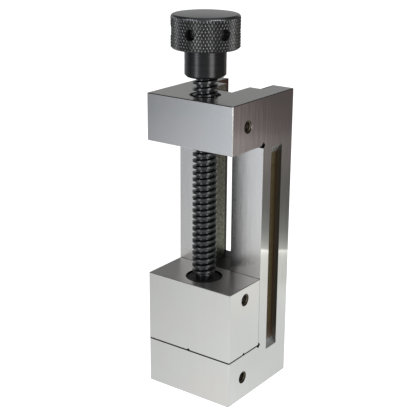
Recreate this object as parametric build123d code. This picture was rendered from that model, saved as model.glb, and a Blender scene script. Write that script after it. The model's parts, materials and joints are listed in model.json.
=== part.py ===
from build123d import *
import math
import os

# A screw-type precision vise, standing on its fixed-jaw end.
# Millimetres. The origin is where the screw's axis meets the lower end face.
# +Z runs up the screw's axis, +X to the right, +Y back towards the underside.

# Body: one block with the bed, the fixed jaw and the end block
BODY_WIDTH = 50.0
BODY_LENGTH = 153.0
BODY_DEPTH = 52.0
JAW_DEPTH = 26.0
FIXED_JAW_LENGTH = 24.2
END_BLOCK_LENGTH = 23.4
AXIS_FROM_FRONT = 13.0
EDGE_CHAMFER = 0.35
INNER_CHAMFER = 0.2

# Stepped slot along the bed: narrow for the jaw's tongue, wide for the keeper plate
SLOT_WIDTH = 14.0
SLOT_PAST_BED = 1.0
RECESS_WIDTH = 26.6
RECESS_DEPTH = 11.7
RECESS_CHAMFER = 0.8

# Strap slots in the sides, cut by a disc whose run-out shows at both ends
STRAP_SLOT_WIDTH = 9.5
STRAP_SLOT_DEPTH = 4.6
STRAP_SLOT_BEHIND_BED = 7.1
STRAP_SLOT_LOW = 19.3
STRAP_SLOT_LENGTH = 107.8
STRAP_CUTTER_RADIUS = 16.0

# Reliefs cut at 45 degrees into the two inner corners, for the grinding wheel
RELIEF_WIDTH = 2.4
RELIEF_DEPTH = 1.1

# Tapped holes in the sides: drawn at the thread's major diameter, with the tapping drill's core below
TAPPED_HOLE_DIAMETER = 6.0
TAPPED_HOLE_DEPTH = 12.0
TAP_DRILL_DIAMETER = 5.0
TAP_DRILL_DEPTH = 14.5
TAPPED_HOLE_MOUTH = 6.4
FIXED_HOLE_FROM_FRONT = 12.0
FIXED_HOLE_HEIGHT = 12.0
END_HOLE_FROM_FRONT = 12.5
DRILL_POINT_ANGLE = 118.0

# Trapezoidal thread of the lead screw, right-handed, one start
THREAD_DIAMETER = 12.0
THREAD_PITCH = 3.175
THREAD_DEPTH = 1.7
THREAD_FLANK_ANGLE = 15.0
THREAD_CLEARANCE = 0.1
THREAD_PHASE = 197.0
NUT_MOUTH_DIAMETER = 15.2

# Moving jaw
MOVING_JAW_LENGTH = 36.3
CLOSED_GAP = 0.2
SLIDE_CLEARANCE = 0.03
TONGUE_CLEARANCE = 0.05
V_GROOVE_WIDTH = 2.4
V_GROOVE_FROM_FRONT = 12.5
JAW_CHAMFER = 0.25

# Screw's end in the moving jaw
BUSH_DIAMETER = 18.0
BUSH_LENGTH = 12.0
BUSH_BELOW_FACE = 0.8
BUSH_CHAMFER = 0.5
BUSH_BORE_CHAMFER = 0.15
NECK_DIAMETER = 8.4
NECK_BELOW_BUSH = 2.4
NECK_SHOWING = 1.2
NECK_GROOVE_DEPTH = 1.2
BALL_DIAMETER = 5.0
BALL_SEAT_DIAMETER = 4.4
PAD_DIAMETER = 9.0
PAD_THICKNESS = 3.0
SEAT_CLEARANCE = 0.02
RUNNING_CLEARANCE = 0.05

# Dog-point set screws in the jaw's side holes
SET_SCREW_DIAMETER = 6.0
SET_SCREW_LENGTH = 12.0
SET_SCREW_BELOW_REAR = 6.65
SET_SCREW_HEX = 3.0
SET_SCREW_HEX_DEPTH = 3.5
DOG_DIAMETER = 4.0
DOG_LENGTH = 3.0
DOG_SIDE_CLEARANCE = 0.1
DOG_END_CLEARANCE = 0.2
ENGAGED_THREAD_CLEARANCE = 0.03

# Keeper plate and its socket cap screws
KEEPER_THICKNESS = 9.0
KEEPER_SIDE_CLEARANCE = 0.2
KEEPER_CHAMFER = 0.5
KEEPER_SCREW_SPACING = 20.0
CAP_SCREW_DIAMETER = 6.0
CAP_SCREW_LENGTH = 16.0
CAP_HEAD_DIAMETER = 10.0
CAP_HEAD_HEIGHT = 6.0
CAP_HEX = 5.0
CAP_HEX_DEPTH = 3.0
CAP_HEAD_CLEARANCE = 0.3
CAP_SHANK_CLEARANCE = 0.3
CAP_HEAD_SUNK = 0.5
CAP_HOLE_SPARE = 1.5

# Knob
KNOB_DIAMETER = 32.7
KNOB_HEIGHT = 15.7
KNOB_CROWN = 1.5
KNOB_EDGE_CHAMFER = 0.8
COLLAR_DIAMETER = 19.8
COLLAR_LENGTH = 13.3
COLLAR_CHAMFER = 1.0
COLLAR_ABOVE_BLOCK = 9.0
SPIGOT_LENGTH = 18.0
SPIGOT_END_SPARE = 0.5
TOMMY_HOLE_DIAMETER = 5.2
TOMMY_HOLE_DEPTH = 8.5
TOMMY_HOLE_COUNT = 6
TOMMY_HOLE_ANGLE = -80.2
PIN_DIAMETER = 3.0
PIN_WALL = 0.6
PIN_SLOT = 0.5
PIN_BELOW_SURFACE = 0.4
PIN_ABOVE_COLLAR_END = 6.6
PIN_ANGLE = 39.8

# Places that follow from the sizes
FRONT = -AXIS_FROM_FRONT
BED = FRONT + JAW_DEPTH
BACK = FRONT + BODY_DEPTH
STEP = BACK - RECESS_DEPTH
HALF_WIDTH = BODY_WIDTH / 2
END_BLOCK_LOW = BODY_LENGTH - END_BLOCK_LENGTH
JAW_FACE = FIXED_JAW_LENGTH + CLOSED_GAP
JAW_REAR = JAW_FACE + MOVING_JAW_LENGTH
JAW_MIDDLE = (JAW_FACE + JAW_REAR) / 2
THREAD_RADIUS = THREAD_DIAMETER / 2
ROOT_RADIUS = THREAD_RADIUS - THREAD_DEPTH
NECK_RADIUS = NECK_DIAMETER / 2
THREAD_START = JAW_REAR + NECK_SHOWING
COLLAR_END = BODY_LENGTH + COLLAR_ABOVE_BLOCK
HEAD_LOW = COLLAR_END + COLLAR_LENGTH
HEAD_TOP = HEAD_LOW + KNOB_HEIGHT
BUSH_TOP = JAW_REAR - BUSH_BELOW_FACE
BUSH_LOW = BUSH_TOP - BUSH_LENGTH
NECK_END = BUSH_LOW - NECK_BELOW_BUSH
SET_SCREW_HEIGHT = JAW_REAR - SET_SCREW_BELOW_REAR
GROOVE_RADIUS = NECK_RADIUS - NECK_GROOVE_DEPTH
GROOVE_WIDTH = DOG_DIAMETER + 2 * DOG_SIDE_CLEARANCE
BALL_RADIUS = BALL_DIAMETER / 2
BALL_HEIGHT = NECK_END + BALL_SEAT_DIAMETER / 2 - (BALL_RADIUS + SEAT_CLEARANCE) * math.sqrt(2)
PAD_TOP = BALL_HEIGHT - BALL_RADIUS - SEAT_CLEARANCE
PAD_LOW = PAD_TOP - PAD_THICKNESS
TONGUE_END = STEP + SLIDE_CLEARANCE
KEEPER_BACK = TONGUE_END + KEEPER_THICKNESS
CAP_SEAT = KEEPER_BACK - CAP_HEAD_SUNK - CAP_HEAD_HEIGHT
OVER = 1.0

BOTTOM = (Align.CENTER, Align.CENTER, Align.MIN)


def block(x_low, x_high, y_low, y_high, z_low, z_high):
    """A box between six planes."""
    size = Box(x_high - x_low, y_high - y_low, z_high - z_low, align=Align.MIN)
    return Pos(x_low, y_low, z_low) * size


def rod(radius, z_low, z_high):
    """A cylinder on the screw's axis."""
    return Pos(0, 0, z_low) * Cylinder(radius, z_high - z_low, align=BOTTOM)


def tapped_hole(side, y, z):
    """A tapped hole's solid entering the body's side (+1 right, -1 left): drilled, then tapped."""
    core = TAP_DRILL_DIAMETER / 2
    point = core / math.tan(math.radians(DRILL_POINT_ANGLE / 2))
    drill = Cylinder(core, TAP_DRILL_DEPTH + OVER, align=BOTTOM)
    drill += Pos(0, 0, TAP_DRILL_DEPTH + OVER) * Cone(core, 0, point, align=BOTTOM)
    drill += Cylinder(TAPPED_HOLE_DIAMETER / 2, TAPPED_HOLE_DEPTH + OVER, align=BOTTOM)
    return Pos(side * (HALF_WIDTH + OVER), y, z) * Rot(0, -side * 90, 0) * drill


def mouth_from_side(side, y, z, mouth_radius):
    """A 45 degree countersink at a side hole's mouth."""
    cone = Cone(mouth_radius + OVER, 0, mouth_radius + OVER, align=BOTTOM)
    return Pos(side * (HALF_WIDTH + OVER), y, z) * Rot(0, -side * 90, 0) * cone


def thread_ridge(z_low, z_high, inner_radius, outer_radius, crest_width):
    """A trapezoidal ridge wound round the axis. Its phase depends on its height alone,
    so every ridge made here is in mesh with every other."""
    flank = math.tan(math.radians(THREAD_FLANK_ANGLE))
    half_crest = crest_width / 2
    half_base = half_crest + (outer_radius - inner_radius) * flank
    height = outer_radius - inner_radius
    plane = Plane(origin=(inner_radius, 0, 0), x_dir=(1, 0, 0), z_dir=(0, -1, 0))
    corners = [(0, -half_base), (0, half_base), (height, half_crest), (height, -half_crest)]
    section = plane * Polygon(*corners, align=None)
    path = Helix(THREAD_PITCH, z_high - z_low, inner_radius)
    ridge = sweep(section, path=path, is_frenet=True)
    start_angle = THREAD_PHASE + 360 * z_low / THREAD_PITCH
    return Pos(0, 0, z_low) * Rot(0, 0, start_angle) * ridge


def crest_width():
    """Crest of the screw's thread, with ridge and groove equal half way up the flank."""
    flank = math.tan(math.radians(THREAD_FLANK_ANGLE))
    return THREAD_PITCH / 2 - THREAD_DEPTH * flank


def edges_on(shape, axis, places):
    """Edges along an axis whose middle lies at one of the places (pairs across the axis)."""
    across = {Axis.X: "YZ", Axis.Y: "XZ", Axis.Z: "XY"}[axis]
    chosen = []
    for edge in shape.edges().filter_by(axis):
        middle = edge @ 0.5
        here = tuple(getattr(middle, name) for name in across)
        if any(math.dist(here, place) < 0.01 for place in places):
            chosen.append(edge)
    return chosen


def body_blank():
    """The L-shaped block: bed, fixed jaw and end block, with its ground edges broken."""
    blank = block(-HALF_WIDTH, HALF_WIDTH, FRONT, BACK, 0, BODY_LENGTH)
    blank = chamfer(blank.edges(), EDGE_CHAMFER)
    gap = block(
        -HALF_WIDTH - OVER, HALF_WIDTH + OVER, FRONT - OVER, BED, FIXED_JAW_LENGTH, END_BLOCK_LOW
    )
    blank -= gap
    front_edges = [(FRONT, FIXED_JAW_LENGTH), (FRONT, END_BLOCK_LOW)]
    return chamfer(edges_on(blank, Axis.X, front_edges), INNER_CHAMFER)


def corner_reliefs():
    """Square-bottomed reliefs at 45 degrees in both inner corners."""
    reliefs = None
    for corner_height, upward in ((FIXED_JAW_LENGTH, -1), (END_BLOCK_LOW, 1)):
        cut = Box(
            BODY_WIDTH + 2 * OVER,
            2 * RELIEF_DEPTH,
            RELIEF_WIDTH,
        )
        cut = Pos(0, BED, corner_height) * Rot(upward * 45, 0, 0) * cut
        reliefs = cut if reliefs is None else reliefs + cut
    return reliefs


def stepped_slot():
    """Slot through the bed, open at both ends, narrow in front and wide behind the step."""
    narrow = SLOT_WIDTH / 2
    wide = RECESS_WIDTH / 2
    flared = wide + RECESS_CHAMFER
    corners = [
        (-narrow, BED - SLOT_PAST_BED),
        (narrow, BED - SLOT_PAST_BED),
        (narrow, STEP),
        (wide, STEP),
        (wide, BACK - RECESS_CHAMFER),
        (flared, BACK),
        (flared, BACK + OVER),
        (-flared, BACK + OVER),
        (-flared, BACK),
        (-wide, BACK - RECESS_CHAMFER),
        (-wide, STEP),
        (-narrow, STEP),
    ]
    profile = Polygon(*corners, align=None)
    return Pos(0, 0, -OVER) * extrude(profile, BODY_LENGTH + 2 * OVER)


def strap_slot(side):
    """Long slot in one side. The cutter's disc leaves an arc at each end of the floor."""
    run_out = math.sqrt(STRAP_CUTTER_RADIUS**2 - (STRAP_CUTTER_RADIUS - STRAP_SLOT_DEPTH) ** 2)
    low = STRAP_SLOT_LOW + run_out
    high = STRAP_SLOT_LOW + STRAP_SLOT_LENGTH - run_out
    floor = HALF_WIDTH - STRAP_SLOT_DEPTH
    centre = floor + STRAP_CUTTER_RADIUS
    y_low = BED + STRAP_SLOT_BEHIND_BED
    disc = Rot(-90, 0, 0) * Cylinder(STRAP_CUTTER_RADIUS, STRAP_SLOT_WIDTH, align=BOTTOM)
    path = block(floor, centre, y_low, y_low + STRAP_SLOT_WIDTH, low, high)
    slot = path + Pos(centre, y_low, low) * disc + Pos(centre, y_low, high) * disc
    return slot if side > 0 else slot.mirror(Plane.YZ)


def nut_cutter():
    """Bore and thread of the nut, run past both faces of the end block."""
    low = END_BLOCK_LOW - THREAD_PITCH
    high = BODY_LENGTH + THREAD_PITCH
    bore = rod(ROOT_RADIUS + THREAD_CLEARANCE, low - THREAD_PITCH, high + THREAD_PITCH)
    return bore + thread_ridge(
        low,
        high,
        ROOT_RADIUS,
        THREAD_RADIUS + THREAD_CLEARANCE,
        crest_width() + 2 * THREAD_CLEARANCE,
    )


def nut_mouths():
    """Countersinks at both ends of the nut."""
    mouth = NUT_MOUTH_DIAMETER / 2
    cone = Cone(mouth + OVER, 0, mouth + OVER, align=BOTTOM)
    upper = Pos(0, 0, BODY_LENGTH + OVER) * Rot(180, 0, 0) * cone
    lower = Pos(0, 0, END_BLOCK_LOW - OVER) * cone
    return upper, lower


def vise_body():
    """Body with every slot, relief, tapped hole and the nut's thread."""
    body = body_blank() - corner_reliefs() - stepped_slot()
    body -= nut_cutter()
    for mouth in nut_mouths():
        body -= mouth
    end_hole_height = (END_BLOCK_LOW + BODY_LENGTH) / 2
    places = [
        (FRONT + FIXED_HOLE_FROM_FRONT, FIXED_HOLE_HEIGHT),
        (FRONT + END_HOLE_FROM_FRONT, end_hole_height),
    ]
    for side in (1, -1):
        body -= strap_slot(side)
        for y, z in places:
            body -= tapped_hole(side, y, z)
            body -= mouth_from_side(side, y, z, TAPPED_HOLE_MOUTH / 2)
    return body


def v_groove_along(direction):
    """A 90 degree groove in the moving jaw's face, along Y or along X."""
    half = V_GROOVE_WIDTH / 2
    corners = [(-half - OVER, -OVER), (half + OVER, -OVER), (0, half)]
    profile = Polygon(*corners, align=None)
    length = BODY_WIDTH + BODY_DEPTH
    if direction == "Y":
        plane = Plane(origin=(0, length / 2, JAW_FACE), x_dir=(1, 0, 0), z_dir=(0, -1, 0))
    else:
        y = FRONT + V_GROOVE_FROM_FRONT
        plane = Plane(origin=(-length / 2, y, JAW_FACE), x_dir=(0, 1, 0), z_dir=(1, 0, 0))
    return extrude(plane * profile, length)


def moving_jaw():
    """Jaw block with its tongue, V-grooves, screw bore and tapped holes."""
    jaw_back = BED - SLIDE_CLEARANCE
    jaw = block(-HALF_WIDTH, HALF_WIDTH, FRONT, jaw_back, JAW_FACE, JAW_REAR)
    jaw = chamfer(jaw.edges(), JAW_CHAMFER)
    half_tongue = SLOT_WIDTH / 2 - TONGUE_CLEARANCE
    jaw += block(-half_tongue, half_tongue, jaw_back - OVER, TONGUE_END, JAW_FACE, JAW_REAR)
    jaw -= v_groove_along("Y")
    jaw -= v_groove_along("X")
    bush_bore = BUSH_DIAMETER / 2
    jaw -= rod(bush_bore, BUSH_LOW, JAW_REAR + OVER)
    jaw -= rod(PAD_DIAMETER / 2 + SEAT_CLEARANCE, PAD_LOW, BUSH_LOW + OVER)
    flare = bush_bore + BUSH_BORE_CHAMFER + OVER
    cone = Cone(flare, 0, flare, align=BOTTOM)
    jaw -= Pos(0, 0, JAW_REAR + OVER) * Rot(180, 0, 0) * cone
    thread_radius = SET_SCREW_DIAMETER / 2 + ENGAGED_THREAD_CLEARANCE
    for side in (1, -1):
        through = Cylinder(thread_radius, HALF_WIDTH + OVER, align=BOTTOM)
        jaw -= Pos(0, 0, SET_SCREW_HEIGHT) * Rot(0, side * 90, 0) * through
        jaw -= mouth_from_side(side, 0, SET_SCREW_HEIGHT, TAPPED_HOLE_MOUTH / 2)
    for z in cap_screw_heights():
        depth = CAP_SCREW_LENGTH - (CAP_SEAT - TONGUE_END) + CAP_HOLE_SPARE
        tapped = Cylinder(CAP_SCREW_DIAMETER / 2 + ENGAGED_THREAD_CLEARANCE, depth, align=BOTTOM)
        jaw -= Pos(0, TONGUE_END, z) * Rot(90, 0, 0) * tapped
    return jaw


def cap_screw_heights():
    """Heights of the lower and the upper keeper screw."""
    half = KEEPER_SCREW_SPACING / 2
    return JAW_MIDDLE - half, JAW_MIDDLE + half


def keeper_plate():
    """Plate behind the step that holds the jaw down, with two counterbored holes."""
    half = RECESS_WIDTH / 2 - KEEPER_SIDE_CLEARANCE
    plate = block(-half, half, TONGUE_END, KEEPER_BACK, JAW_FACE, JAW_REAR)
    plate = chamfer(plate.edges(), KEEPER_CHAMFER)
    for z in cap_screw_heights():
        head = Cylinder(
            CAP_HEAD_DIAMETER / 2 + CAP_HEAD_CLEARANCE, KEEPER_THICKNESS, align=BOTTOM
        )
        plate -= Pos(0, CAP_SEAT, z) * Rot(-90, 0, 0) * head
        shank = Cylinder(
            CAP_SCREW_DIAMETER / 2 + CAP_SHANK_CLEARANCE, 2 * KEEPER_THICKNESS, align=BOTTOM
        )
        plate -= Pos(0, TONGUE_END - OVER, z) * Rot(-90, 0, 0) * shank
    return plate


def cap_screw(z):
    """Socket cap screw, its head towards the underside and its end in the tongue."""
    chamfer_size = CAP_SCREW_DIAMETER / 12
    shank = Cylinder(CAP_SCREW_DIAMETER / 2, CAP_SCREW_LENGTH, align=BOTTOM)
    shank = chamfer(shank.edges().sort_by(Axis.Z)[-1:], chamfer_size)
    head = Cylinder(CAP_HEAD_DIAMETER / 2, CAP_HEAD_HEIGHT, align=BOTTOM)
    head = chamfer(head.edges().sort_by(Axis.Z)[-1:], chamfer_size)
    hexagon = RegularPolygon(CAP_HEX / 2, 6, major_radius=False)
    head -= Pos(0, 0, CAP_HEAD_HEIGHT - CAP_HEX_DEPTH) * extrude(hexagon, CAP_HEX_DEPTH + OVER)
    screw = head + Rot(180, 0, 0) * shank
    return Pos(0, CAP_SEAT, z) * Rot(-90, 0, 0) * screw


def lead_screw():
    """Screw with its neck, groove and ball seat below, thread, and spigot above."""
    low = THREAD_START - THREAD_PITCH
    high = COLLAR_END + THREAD_PITCH
    screw = rod(ROOT_RADIUS, low - THREAD_PITCH, high + THREAD_PITCH) + thread_ridge(
        low, high, ROOT_RADIUS - THREAD_CLEARANCE, THREAD_RADIUS, crest_width()
    )
    wide = THREAD_DIAMETER
    screw -= rod(wide, COLLAR_END, COLLAR_END + 3 * THREAD_PITCH)
    lead_in = Cone(ROOT_RADIUS, wide, wide - ROOT_RADIUS, align=BOTTOM)
    waste = rod(wide, THREAD_START - 3 * THREAD_PITCH, THREAD_START + wide - ROOT_RADIUS)
    screw -= waste - Pos(0, 0, THREAD_START) * lead_in
    screw += rod(NECK_RADIUS, NECK_END, THREAD_START + OVER)
    screw += rod(NECK_RADIUS, COLLAR_END - OVER, COLLAR_END + SPIGOT_LENGTH)
    groove_low = SET_SCREW_HEIGHT - GROOVE_WIDTH / 2
    groove_high = SET_SCREW_HEIGHT + GROOVE_WIDTH / 2
    outside = rod(NECK_RADIUS + OVER, groove_low, groove_high)
    screw -= outside - rod(GROOVE_RADIUS, groove_low, groove_high)
    seat = Cone(BALL_SEAT_DIAMETER / 2, 0, BALL_SEAT_DIAMETER / 2, align=BOTTOM)
    screw -= Pos(0, 0, NECK_END) * seat
    return screw - pin_hole()


def pin_hole():
    """Cross hole for the pin, through the collar and the spigot."""
    radius = PIN_DIAMETER / 2 + SEAT_CLEARANCE
    hole = Cylinder(radius, COLLAR_DIAMETER + 2 * OVER)
    return Pos(0, 0, COLLAR_END + PIN_ABOVE_COLLAR_END) * Rot(0, 0, PIN_ANGLE) * Rot(0, 90, 0) * hole


def knob_pin():
    """Slotted spring pin."""
    length = COLLAR_DIAMETER - 2 * PIN_BELOW_SURFACE
    pin = Cylinder(PIN_DIAMETER / 2, length) - Cylinder(PIN_DIAMETER / 2 - PIN_WALL, length)
    pin -= Pos(PIN_DIAMETER / 2, 0, 0) * Box(PIN_DIAMETER, PIN_SLOT, length)
    return Pos(0, 0, COLLAR_END + PIN_ABOVE_COLLAR_END) * Rot(0, 0, PIN_ANGLE) * Rot(0, 90, 0) * pin


def knob():
    """Turned head and collar with a blind bore for the spigot and radial tommy-bar holes."""
    head = Pos(0, 0, HEAD_LOW) * Cylinder(KNOB_DIAMETER / 2, KNOB_HEIGHT, align=BOTTOM)
    rims = head.edges().sort_by(Axis.Z)
    head = chamfer(rims[:1], KNOB_EDGE_CHAMFER)
    crown = head.edges().filter_by(GeomType.CIRCLE).sort_by(Axis.Z)[-1:]
    head = fillet(crown, KNOB_CROWN)
    collar = rod(COLLAR_DIAMETER / 2, COLLAR_END, HEAD_LOW + OVER)
    collar = chamfer(collar.edges().sort_by(Axis.Z)[:1], COLLAR_CHAMFER)
    body = head + collar
    body -= rod(
        NECK_RADIUS + SEAT_CLEARANCE, COLLAR_END - OVER, COLLAR_END + SPIGOT_LENGTH + SPIGOT_END_SPARE
    )
    radius = TOMMY_HOLE_DIAMETER / 2
    inner = KNOB_DIAMETER / 2 - TOMMY_HOLE_DEPTH
    drill = Pos(0, 0, inner) * Cylinder(radius, TOMMY_HOLE_DEPTH + OVER, align=BOTTOM)
    for k in range(TOMMY_HOLE_COUNT):
        angle = TOMMY_HOLE_ANGLE + 360 * k / TOMMY_HOLE_COUNT
        middle = (HEAD_LOW + HEAD_TOP) / 2
        body -= Pos(0, 0, middle) * Rot(0, 0, angle) * Rot(0, 90, 0) * drill
    return body - pin_hole()


def screw_bush():
    """Bush that guides the screw's neck in the jaw's bore, with a cross hole for the dogs."""
    outer = BUSH_DIAMETER / 2 - SEAT_CLEARANCE
    bush = rod(outer, BUSH_LOW, BUSH_TOP)
    bush = chamfer(bush.edges().sort_by(Axis.Z)[-1:], BUSH_CHAMFER)
    bush -= rod(NECK_RADIUS + RUNNING_CLEARANCE, BUSH_LOW - OVER, BUSH_TOP + OVER)
    cross = Cylinder(SET_SCREW_DIAMETER / 2 + ENGAGED_THREAD_CLEARANCE, BUSH_DIAMETER + OVER)
    return bush - Pos(0, 0, SET_SCREW_HEIGHT) * Rot(0, 90, 0) * cross


def set_screw(side):
    """Dog-point set screw whose point lies in the neck's groove."""
    tip = GROOVE_RADIUS + DOG_END_CLEARANCE
    body_length = SET_SCREW_LENGTH - DOG_LENGTH
    dog = Pos(0, 0, tip) * Cylinder(DOG_DIAMETER / 2, DOG_LENGTH + OVER, align=BOTTOM)
    shank = Cylinder(SET_SCREW_DIAMETER / 2, body_length, align=BOTTOM)
    shank = chamfer(shank.edges().filter_by(GeomType.CIRCLE), SET_SCREW_DIAMETER / 12)
    screw = dog + Pos(0, 0, tip + DOG_LENGTH) * shank
    hexagon = RegularPolygon(SET_SCREW_HEX / 2, 6, major_radius=False)
    socket = extrude(hexagon, SET_SCREW_HEX_DEPTH + OVER)
    screw -= Pos(0, 0, tip + SET_SCREW_LENGTH - SET_SCREW_HEX_DEPTH) * socket
    return Pos(0, 0, SET_SCREW_HEIGHT) * Rot(0, side * 90, 0) * screw


def thrust_ball():
    """Ball between the screw's end and the pad."""
    return Pos(0, 0, BALL_HEIGHT) * Sphere(BALL_RADIUS)


def thrust_pad():
    """Hardened disc at the bottom of the jaw's bore."""
    pad = rod(PAD_DIAMETER / 2, PAD_LOW, PAD_TOP)
    return chamfer(pad.edges().sort_by(Axis.Z)[-1:], PAD_THICKNESS / 10)


def all_parts():
    """Every separate piece by name."""
    lower, upper = cap_screw_heights()
    return {
        "vise_body": vise_body(),
        "moving_jaw": moving_jaw(),
        "keeper_plate": keeper_plate(),
        "keeper_screw_lower": cap_screw(lower),
        "keeper_screw_upper": cap_screw(upper),
        "lead_screw": lead_screw(),
        "screw_bush": screw_bush(),
        "retaining_screw_right": set_screw(1),
        "retaining_screw_left": set_screw(-1),
        "thrust_ball": thrust_ball(),
        "thrust_pad": thrust_pad(),
        "knob": knob(),
        "knob_pin": knob_pin(),
    }


os.makedirs("parts", exist_ok=True)
for name, shape in all_parts().items():
    export_step(shape, f"parts/{name}.step")
    size = shape.bounding_box().size
    print(f"{name}: {size.X:.2f} x {size.Y:.2f} x {size.Z:.2f} mm")
travel = END_BLOCK_LOW - JAW_REAR
print(f"free space behind the jaw {travel:.2f} mm, one turn {THREAD_PITCH} mm")
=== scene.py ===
# %% [markdown]
# # A precision vise, dressed for the camera
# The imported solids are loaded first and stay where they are: they are the frame that every other
# piece is fitted to. What is made here is what solids carry badly: the knurled knob, the smooth
# flanks of the lead screw, the threads in the tapped holes, and the finish of every surface.

# %% Load the frame
import json
import math

import bmesh
import bpy
from mathutils import Matrix, Vector


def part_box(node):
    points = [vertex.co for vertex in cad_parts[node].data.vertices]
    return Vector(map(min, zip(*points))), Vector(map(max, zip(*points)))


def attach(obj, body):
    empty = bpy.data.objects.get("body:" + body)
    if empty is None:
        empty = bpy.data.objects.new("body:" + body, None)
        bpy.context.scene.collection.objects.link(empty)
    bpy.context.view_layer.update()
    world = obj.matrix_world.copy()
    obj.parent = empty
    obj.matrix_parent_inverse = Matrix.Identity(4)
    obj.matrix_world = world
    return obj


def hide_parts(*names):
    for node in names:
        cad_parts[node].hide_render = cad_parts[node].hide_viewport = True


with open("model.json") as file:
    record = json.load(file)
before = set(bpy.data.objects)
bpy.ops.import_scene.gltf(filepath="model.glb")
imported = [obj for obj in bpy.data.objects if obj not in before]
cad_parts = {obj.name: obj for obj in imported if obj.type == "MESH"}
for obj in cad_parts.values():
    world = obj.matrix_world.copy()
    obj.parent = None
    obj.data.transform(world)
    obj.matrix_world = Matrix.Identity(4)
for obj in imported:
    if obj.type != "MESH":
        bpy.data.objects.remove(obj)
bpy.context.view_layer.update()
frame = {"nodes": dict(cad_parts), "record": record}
nodes = frame["nodes"]

# %% [markdown]
# ## Measures
# Places are read from the frame, so that a piece lands on its solid by itself. Only what a box can't
# tell, such as the thread's pitch or the depth of a slot, is written here, in metres.

# %% Measures
MM = 0.001
body_low, body_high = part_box("vise_body")
jaw_low, jaw_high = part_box("moving_jaw")
screw_low, screw_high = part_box("lead_screw")
knob_low, knob_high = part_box("knob")
set_screw_low, set_screw_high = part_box("retaining_screw_right")
bush_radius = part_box("screw_bush")[1].x

THREAD_PITCH = 3.175 * MM
THREAD_DEPTH = 1.7 * MM
THREAD_FLANK = math.radians(15)
THREAD_PHASE = math.radians(197)
thread_radius = screw_high.x
root_radius = thread_radius - THREAD_DEPTH
print("thread", round(thread_radius / MM, 3), "mm radius, pitch", THREAD_PITCH / MM)

# %% Measures of the body
JAW_DEPTH = 26.0 * MM
FIXED_JAW = 24.2 * MM
END_BLOCK = 23.4 * MM
SLOT_WIDTH = 14.0 * MM
RECESS_WIDTH = 26.6 * MM
NUT_MOUTH = 15.2 * MM
STRAP_WIDTH = 9.5 * MM
STRAP_DEPTH = 4.6 * MM
STRAP_BEHIND_BED = 7.1 * MM
STRAP_LOW = 19.3 * MM
STRAP_LENGTH = 107.8 * MM
HOLE_MOUTH = 6.4 * MM
FIXED_HOLE_FROM_FRONT = 12.0 * MM
FIXED_HOLE_HEIGHT = 12.0 * MM
END_HOLE_FROM_FRONT = 12.5 * MM

bed_y = body_low.y + JAW_DEPTH
step_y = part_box("keeper_plate")[0].y
slot_half = SLOT_WIDTH / 2
recess_half = RECESS_WIDTH / 2
fixed_top = body_low.z + FIXED_JAW
end_block_low = body_high.z - END_BLOCK
fixed_hole_y = body_low.y + FIXED_HOLE_FROM_FRONT
fixed_hole_z = body_low.z + FIXED_HOLE_HEIGHT
end_hole_y = body_low.y + END_HOLE_FROM_FRONT
end_hole_z = (end_block_low + body_high.z) / 2
groove_z = (set_screw_low.z + set_screw_high.z) / 2
print("bed and side holes at", [round(place / MM, 2) for place in (bed_y, fixed_hole_z, end_hole_z)], "mm")

# %% [markdown]
# ## Small tools for node trees
# A geometry tree and a shader tree are built in the same way: add a node, give its inputs a value or
# a link. One small class does that for both, so a tree below reads like a recipe.

# %% Tools for node trees
MIX_SOCKETS = {"FLOAT": (2, 3, 0), "VECTOR": (4, 5, 1), "RGBA": (6, 7, 2)}


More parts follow.
